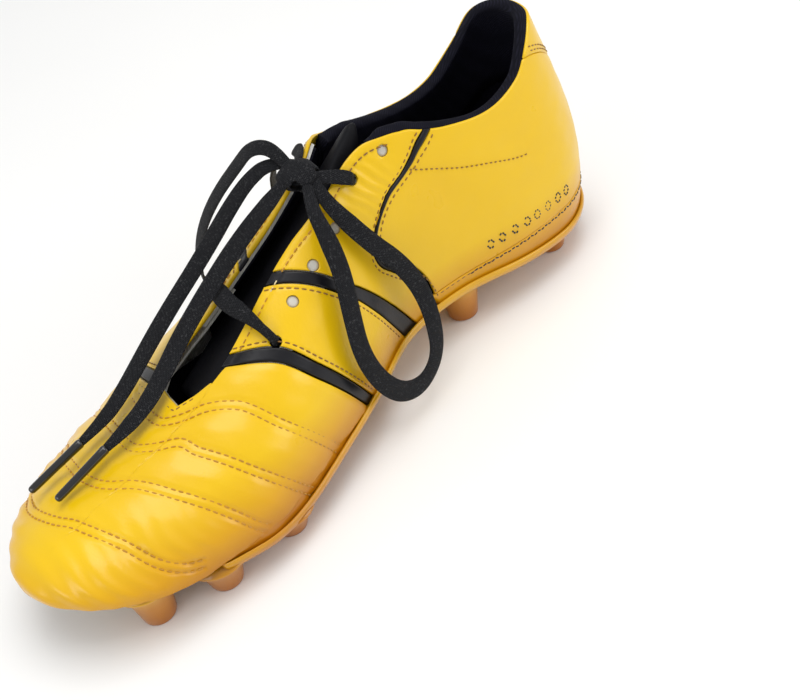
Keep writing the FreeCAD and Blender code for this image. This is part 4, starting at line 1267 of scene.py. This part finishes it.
def make_sole():
    outline = sole_outline()
    outline = resample(np.vstack([outline, outline[:1]]), 1.6)[:-1]
    tangent = np.roll(outline, -3, axis=0) - np.roll(outline, 3, axis=0)
    normal = np.stack([tangent[:, 1], -tangent[:, 0]], axis=1)
    normal /= np.linalg.norm(normal, axis=1, keepdims=True)
    middle = outline[:, :2].mean(0)
    if np.sum(normal * (outline[:, :2] - middle)) < 0:
        normal = -normal
    rings = []
    for out, rise in LIP + [(out, rise - LIP_DROP) for out, rise in RIM]:
        ring = outline.copy()
        ring[:, :2] += normal * out
        ring[:, 2] += rise
        rings.append(ring)
    shrink = []
    for share in (0.82, 0.6, 0.36, 0.12):
        ring = rings[-1].copy()
        centre_y = np.interp(ring[:, 0], [0, 90, 140, 200, 285], [0, -5, -6, -3, 0])
        ring[:, 1] = centre_y + (ring[:, 1] - centre_y) * share
        centre_x = np.clip(ring[:, 0], 34, 245)
        ring[:, 0] = centre_x + (ring[:, 0] - centre_x) * share
        ring[:, 2] = curve(EDGE_Z, ring[:, 0]) - 4.45
        shrink.append(ring)
    top = [ring + np.array([0, 0, 3.6]) for ring in shrink]
    rings = top[::-1] + rings + shrink
    grid = np.stack(rings)
    faces = ring_faces(*grid.shape[:2], flip=True)
    verts = [tuple(v) for v in place(grid).reshape(-1, 3)]
    for x, y in STUDS:
        root = float(curve(EDGE_Z, x)) - PLATE_T
        stud = [(0.01, 0.0), (5.0, 0.0), (5.7, 0.12), (6.15, 0.45), (6.35, 1.1), (6.9, (root - 3) * 0.35),
                (7.7, (root - 3) * 0.7), (8.7, root - 2.9), (9.4, root - 1.4), (10.3, root - 0.4),
                (11.4, root + 0.2), (11.5, root + 1.4), (0.01, root + 1.5)]
        offset = len(verts)
        for radius, z in stud:
            for angle in around(STUD_SIDES):
                verts.append(tuple(place((x + radius * math.cos(angle), y + radius * math.sin(angle), z))))
        faces += ring_faces(len(stud), STUD_SIDES, offset, flip=True)
    obj = new_mesh("sole_plate", verts, faces, SOLE)
    fix_normals(obj)
    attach(obj, "shoe")
    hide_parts("outsole")
    return obj


make_sole()


# ---- lace ----
LACE_SIDES = 20
AGLET_SIDES = 28


def spline(points, name):
    """The smooth line that the lace's middle follows, metres."""
    data = bpy.data.curves.new(name, "CURVE")
    data.dimensions = "3D"
    data.resolution_u = 10
    line = data.splines.new("NURBS")
    line.points.add(len(points) - 1)
    for point, p in zip(line.points, place(points)):
        point.co = (*p, 1.0)
    line.order_u = 3
    line.use_endpoint_u = True
    obj = bpy.data.objects.new(name, data)
    bpy.context.scene.collection.objects.link(obj)
    bpy.context.view_layer.update()
    mesh = bpy.data.meshes.new_from_object(obj)
    found = [tuple(v.co) for v in mesh.vertices]
    bpy.data.objects.remove(obj)
    bpy.data.meshes.remove(mesh)
    return found


def ribbon(name, line, normals, widths, mat=None, thick=LACE_T):
    """A flat lace along a line of metre points. normals point out of its flat face, widths are in mm."""
    line = resample(np.array(line) * 1000.0, 1.0)
    count = len(line)
    share = np.linspace(0, 1, count)
    tangent = np.gradient(line, axis=0)
    tangent /= np.linalg.norm(tangent, axis=1, keepdims=True)
    keys = np.linspace(0, 1, len(normals))
    want = np.stack([np.interp(share, keys, np.array(normals, float)[:, k]) for k in range(3)], axis=1)
    flat = want - tangent * np.sum(want * tangent, axis=1, keepdims=True)
    flat /= np.maximum(np.linalg.norm(flat, axis=1, keepdims=True), 1e-6)
    across = np.cross(tangent, flat)
    width = np.interp(share, np.linspace(0, 1, len(widths)), widths)
    run = np.concatenate([[0], np.cumsum(np.linalg.norm(np.diff(line, axis=0), axis=1))])
    profile = []
    for k in range(LACE_SIDES):
        angle = 2 * math.pi * (k + 0.5) / LACE_SIDES
        c = math.cos(angle)
        z = math.sin(angle)
        profile.append((math.copysign(abs(c) ** 0.45, c) * 0.5, math.copysign(abs(z) ** 0.8, z) * 0.5))
    verts = []
    for i in range(count):
        thin = thick * (1.0 + 0.6 * max(0.0, 1 - width[i] / 6.0))
        for a, b in profile:
            crown = 1 - 0.35 * (2 * a) ** 2
            verts.append(line[i] + across[i] * a * width[i] + flat[i] * b * thin * crown)
    faces = ring_faces(count, LACE_SIDES)
    weave = []
    for i in range(count - 1):
        for k in range(LACE_SIDES):
            v0 = profile[k][0]
            v1 = profile[(k + 1) % LACE_SIDES][0]
            weave.append([(run[i] / 1.4, v0 * width[i] / 8), (run[i + 1] / 1.4, v0 * width[i + 1] / 8),
                          (run[i + 1] / 1.4, v1 * width[i + 1] / 8), (run[i] / 1.4, v1 * width[i] / 8)])
    weave += [[(0, 0)] * LACE_SIDES] * 2
    data = bpy.data.meshes.new(name)
    data.from_pydata([tuple(v) for v in np.array(verts) * 0.001], [], faces)
    layer = data.uv_layers.new(name="weave")
    flat_uv = [uv for face in weave for uv in face]
    layer.data.foreach_set("uv", np.array(flat_uv, float).reshape(-1))
    data.polygons.foreach_set("use_smooth", [True] * len(data.polygons))
    obj = bpy.data.objects.new(name, data)
    bpy.context.scene.collection.objects.link(obj)
    data.materials.append(mat or LACE)
    data.update()
    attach(obj, "shoe")
    return obj


def skin_faces(points):
    """At each point, the direction out of the upper."""
    found = []
    for p in points:
        s, w = locate(p)
        n = np.array(skin_normal(s, w))
        found.append(n / np.linalg.norm(n))
    return found


def loop_faces(points, side):
    """Flat directions of a bow loop: leaning out sideways all along it."""
    found = []
    for p in points:
        n = skin_faces([p])[0]
        out = np.array([0.0, side * 1.0, 0.25])
        found.append(n * 0.65 + out * 0.6 if side > 0 else n * 0.25 + np.array([0.45, 0.25, 0.75]))
    return found


loops = {}
for label, points in (("medial", MEDIAL_LOOP), ("lateral", LATERAL_LOOP)):
    node = "lace_%s_loop" % label
    line = spline(points, node + "_line")
    widths = [3.6, 7.2, 7.8, 8.0, 8.0, 8.0, 7.8, 7.6, 7.2, 3.8]
    obj = ribbon(node + "_ribbon", line, loop_faces(points, SIDES[label]), widths)
    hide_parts(node)
    loops[label] = obj


def aglet(name, node, start, end):
    """The hard wrapped tip: a tight sleeve with a slight waist, a seam line and a rounded end."""
    start = np.array(start, float)
    end = np.array(end, float)
    along = end - start
    length = np.linalg.norm(along)
    along /= length
    side = np.cross(along, [0, 0, 1.0])
    side /= np.linalg.norm(side)
    up = np.cross(side, along)
    rings = [(-0.6, 1.2), (0.0, 1.62), (0.5, 1.75), (3.0, 1.66), (length * 0.5, 1.55), (length - 3.0, 1.5),
             (length - 1.0, 1.42), (length - 0.3, 1.1), (length, 0.6)]
    verts = []
    for run, radius in rings:
        for angle in around(AGLET_SIDES):
            seam = 1 - 0.09 * math.exp(-((angle - 2.2) / 0.2) ** 2)
            out = side * math.cos(angle) + up * math.sin(angle)
            verts.append(start + along * run + out * radius * seam)
    obj = new_mesh(name, place(np.array(verts)), ring_faces(len(rings), AGLET_SIDES), AGLET)
    fix_normals(obj)
    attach(obj, "shoe")
    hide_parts(node)
    return obj


for label, points, tip in (("outer", OUTER_END, OUTER_AGLET_TO), ("inner", INNER_END, INNER_AGLET_TO)):
    end = np.array(points[-1], float)
    sleeve = aglet(label + "_aglet_tip", label + "_aglet", end, tip)
    line = spline(points, "lace_%s_line" % label)
    faces = [n * 0.4 + np.array([0.35, 0.35, 0.55]) for n in skin_faces(points)]
    widths = [3.4, 6.4, 7.4, 7.8, 7.8, 7.6, 7.6, 7.4, 7.0, 6.0, 3.2]
    obj = ribbon("lace_%s_ribbon" % label, line, faces, widths)
    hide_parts("lace_%s_end" % label)


def eyelet_points(index, side, first, second):
    x, u = EYELETS[index]
    s = float(arc_at(x))
    w = float(w_at(side, s, u))
    return [tuple(on_skin(s, w, -first)), tuple(on_skin(s, w, -second))]


def under_leg(side):
    """The lace's way under the eyestay."""
    found = []
    for x in (127.0, 139.0, 151.0, 161.0):
        s = float(arc_at(x))
        found.append(tuple(on_skin(s, float(w_at(side, s, 0.775)), -LACE_UNDER)))
    return found


def held_lace():
    """From the knot through the second eyelets, under the eyestays, out of the sixth, across the throat."""
    top_medial = [(128.5, 6.5, 96.5), (122, 11, 94.5)] + eyelet_points(1, 1, -LACE_OVER, LACE_UNDER)
    down = under_leg(1) + eyelet_points(5, 1, LACE_UNDER, -LACE_OVER)
    across = [(175, 13.5, 70.5), (175.5, 3, 72.5), (172, -8, 71.5)]
    up = eyelet_points(5, -1, -LACE_OVER, LACE_UNDER) + under_leg(-1)[::-1]
    top_lateral = eyelet_points(1, -1, LACE_UNDER, -LACE_OVER) + [(119.5, -9, 97.5), (125.5, -4, 98)]
    points = top_medial + down + across + up + top_lateral
    flat = skin_faces(points)
    leg = [4.4, 4.6, 4.6, 4.4]
    widths = [4.5, 5.5, 3.2, 3.2, *leg, 3.2, 3.4, 6.4, 7.4, 6.4, 3.4, 3.2, *leg, 3.2, 3.2, 5.5, 4.5]
    obj = ribbon("lace_held_ribbon", spline(points, "lace_held_line"), flat, widths[:len(points)])
    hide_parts("lace_held")
    return obj


held_lace()


def make_knot():
    """The bow's knot: the lace wrapped over itself, and the hump where the loops leave it."""
    centre = np.array(KNOT_CENTRE, float)
    wraps = []
    first = []
    for k in range(26):
        angle = -0.5 * math.pi + 2 * math.pi * k / 25 * 1.04
        first.append(centre + [2.0 * math.sin(angle * 0.5), 7.0 * math.cos(angle), 3.9 * math.sin(angle)])
    wraps.append(first)
    second = []
    for k in range(26):
        angle = 2 * math.pi * k / 25 * 1.02
        second.append(centre + [6.6 * math.cos(angle), 2.4 * math.sin(angle * 0.5) - 1.0,
                                3.8 * math.sin(angle)])
    wraps.append(second)
    data = []
    for points in wraps:
        normals = [p - centre for p in points]
        part = ribbon("knot_wrap", place(points), normals, [7.6] * 4, thick=1.4)
        data.append(part)
    core_rows = []
    for i in range(13):
        polar = math.pi * i / 12
        ring = []
        for angle in around(24):
            lump = 1 + 0.05 * math.sin(3 * angle + 2 * polar)
            ring.append(centre + np.array([4.6 * math.sin(polar) * math.cos(angle), 5.2 * math.cos(polar),
                                           2.6 * math.sin(polar) * math.sin(angle)]) * lump)
        core_rows.append(ring)
    core = place(np.array(core_rows)).reshape(-1, 3)
    obj = new_mesh("knot_core", core, ring_faces(13, 24, caps=False), LACE)
    obj.data.uv_layers.new(name="weave")
    bpy.ops.object.select_all(action="DESELECT")
    for part in [obj] + data:
        part.select_set(True)
    bpy.context.view_layer.objects.active = obj
    bpy.ops.object.join()
    obj.name = "lace_knot_wraps"
    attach(obj, "shoe")
    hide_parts("lace_knot")
    return obj


make_knot()


# ---- the pieces inside, as packed ----
def finish_nodes(mat, *names):
    for name in names:
        node = NODES[name]
        node.data.materials.clear()
        node.data.materials.append(mat)


def both_sides(*names):
    return ["%s_%s" % (label, name) for label in SIDES for name in names]


finish_nodes(SOLE, "outsole")
finish_nodes(BOARD, "insole_board")
finish_nodes(NAVY, "sockliner", "collar_lining", *both_sides("quarter_lining"))
finish_nodes(FOAM, "vamp_foam", "collar_foam", "tongue_foam")
finish_nodes(WHITE, "vamp_lining", *both_sides("eyestay_backing"))
finish_nodes(COUNTER, "toe_puff", "heel_counter")
finish_nodes(TONGUE_BLACK, "tongue_cover", "tongue_lining")
finish_nodes(YELLOW, "vamp", "heel_tab", "heel_foxing", *both_sides("mid_panel", "waist_panel", "quarter"))
finish_nodes(BLACK, *both_sides("front_stripe", "rear_stripe", "piping"))
finish_nodes(LACE, "lace_held", "lace_medial_loop", "lace_lateral_loop", "lace_outer_end", "lace_inner_end",
             "lace_knot")
finish_nodes(AGLET, "outer_aglet", "inner_aglet")


# ---- floor, light and camera ----
CAMERA_AT = (0.1874, 0.3252, 0.3391)
CAMERA_FORWARD = (-0.426, -0.616, -0.663)
CAMERA_UP = (-0.592, -0.364, 0.719)
CAMERA_LENS = 56.74
SKY_STRENGTH = 0.62
def make_stage():
    bpy.ops.mesh.primitive_plane_add(size=16.0, location=(0, 0, 0))
    floor = bpy.context.object
    floor.name = "floor"
    mat, tree, shader = material("floor", (0.90, 0.90, 0.89), 0.55)
    tint = ramp(tree, noise(tree, 4.0).outputs["Fac"], [(0.3, (0.89, 0.89, 0.88)), (0.7, (0.91, 0.91, 0.90))])
    tree.links.new(tint.outputs["Color"], shader.inputs["Base Color"])
    floor.data.materials.append(mat)
    world = bpy.context.scene.world or bpy.data.worlds.new("sky")
    bpy.context.scene.world = world
    world.use_nodes = True
    back = world.node_tree.nodes["Background"]
    back.inputs["Color"].default_value = (1.0, 1.0, 1.0, 1)
    back.inputs["Strength"].default_value = SKY_STRENGTH


def area_light(name, location, target, size, power):
    data = bpy.data.lights.new(name, "AREA")
    data.shape = "RECTANGLE"
    data.size = size[0]
    data.size_y = size[1]
    data.energy = power
    lamp = bpy.data.objects.new(name, data)
    lamp.location = location
    lamp.rotation_euler = (Vector(target) - Vector(location)).to_track_quat("-Z", "Y").to_euler()
    bpy.context.scene.collection.objects.link(lamp)
    return lamp


make_stage()
area_light("overhead", (-0.1, 0.1, 1.3), (0, 0, 0.03), (1.0, 0.8), 9.0)
area_light("side", (-0.75, 0.95, 0.55), (0, 0, 0.04), (0.7, 0.4), 3.5)
area_light("toe_side", (1.1, 0.15, 0.6), (0.05, 0, 0.03), (0.6, 0.4), 2.5)


def make_camera():
    forward = Vector(CAMERA_FORWARD).normalized()
    up = Vector(CAMERA_UP)
    right = forward.cross(up).normalized()
    up = right.cross(forward).normalized()
    data = bpy.data.cameras.new("camera")
    data.lens = CAMERA_LENS
    data.sensor_width = 36.0
    data.clip_start = 0.01
    cam = bpy.data.objects.new("camera", data)
    turn = Matrix([right, up, -forward]).transposed().to_4x4()
    cam.matrix_world = Matrix.Translation(CAMERA_AT) @ turn
    bpy.context.scene.collection.objects.link(cam)
    bpy.context.scene.camera = cam


make_camera()
bpy.context.scene.view_settings.view_transform = "Standard"
bpy.context.view_layer.update()
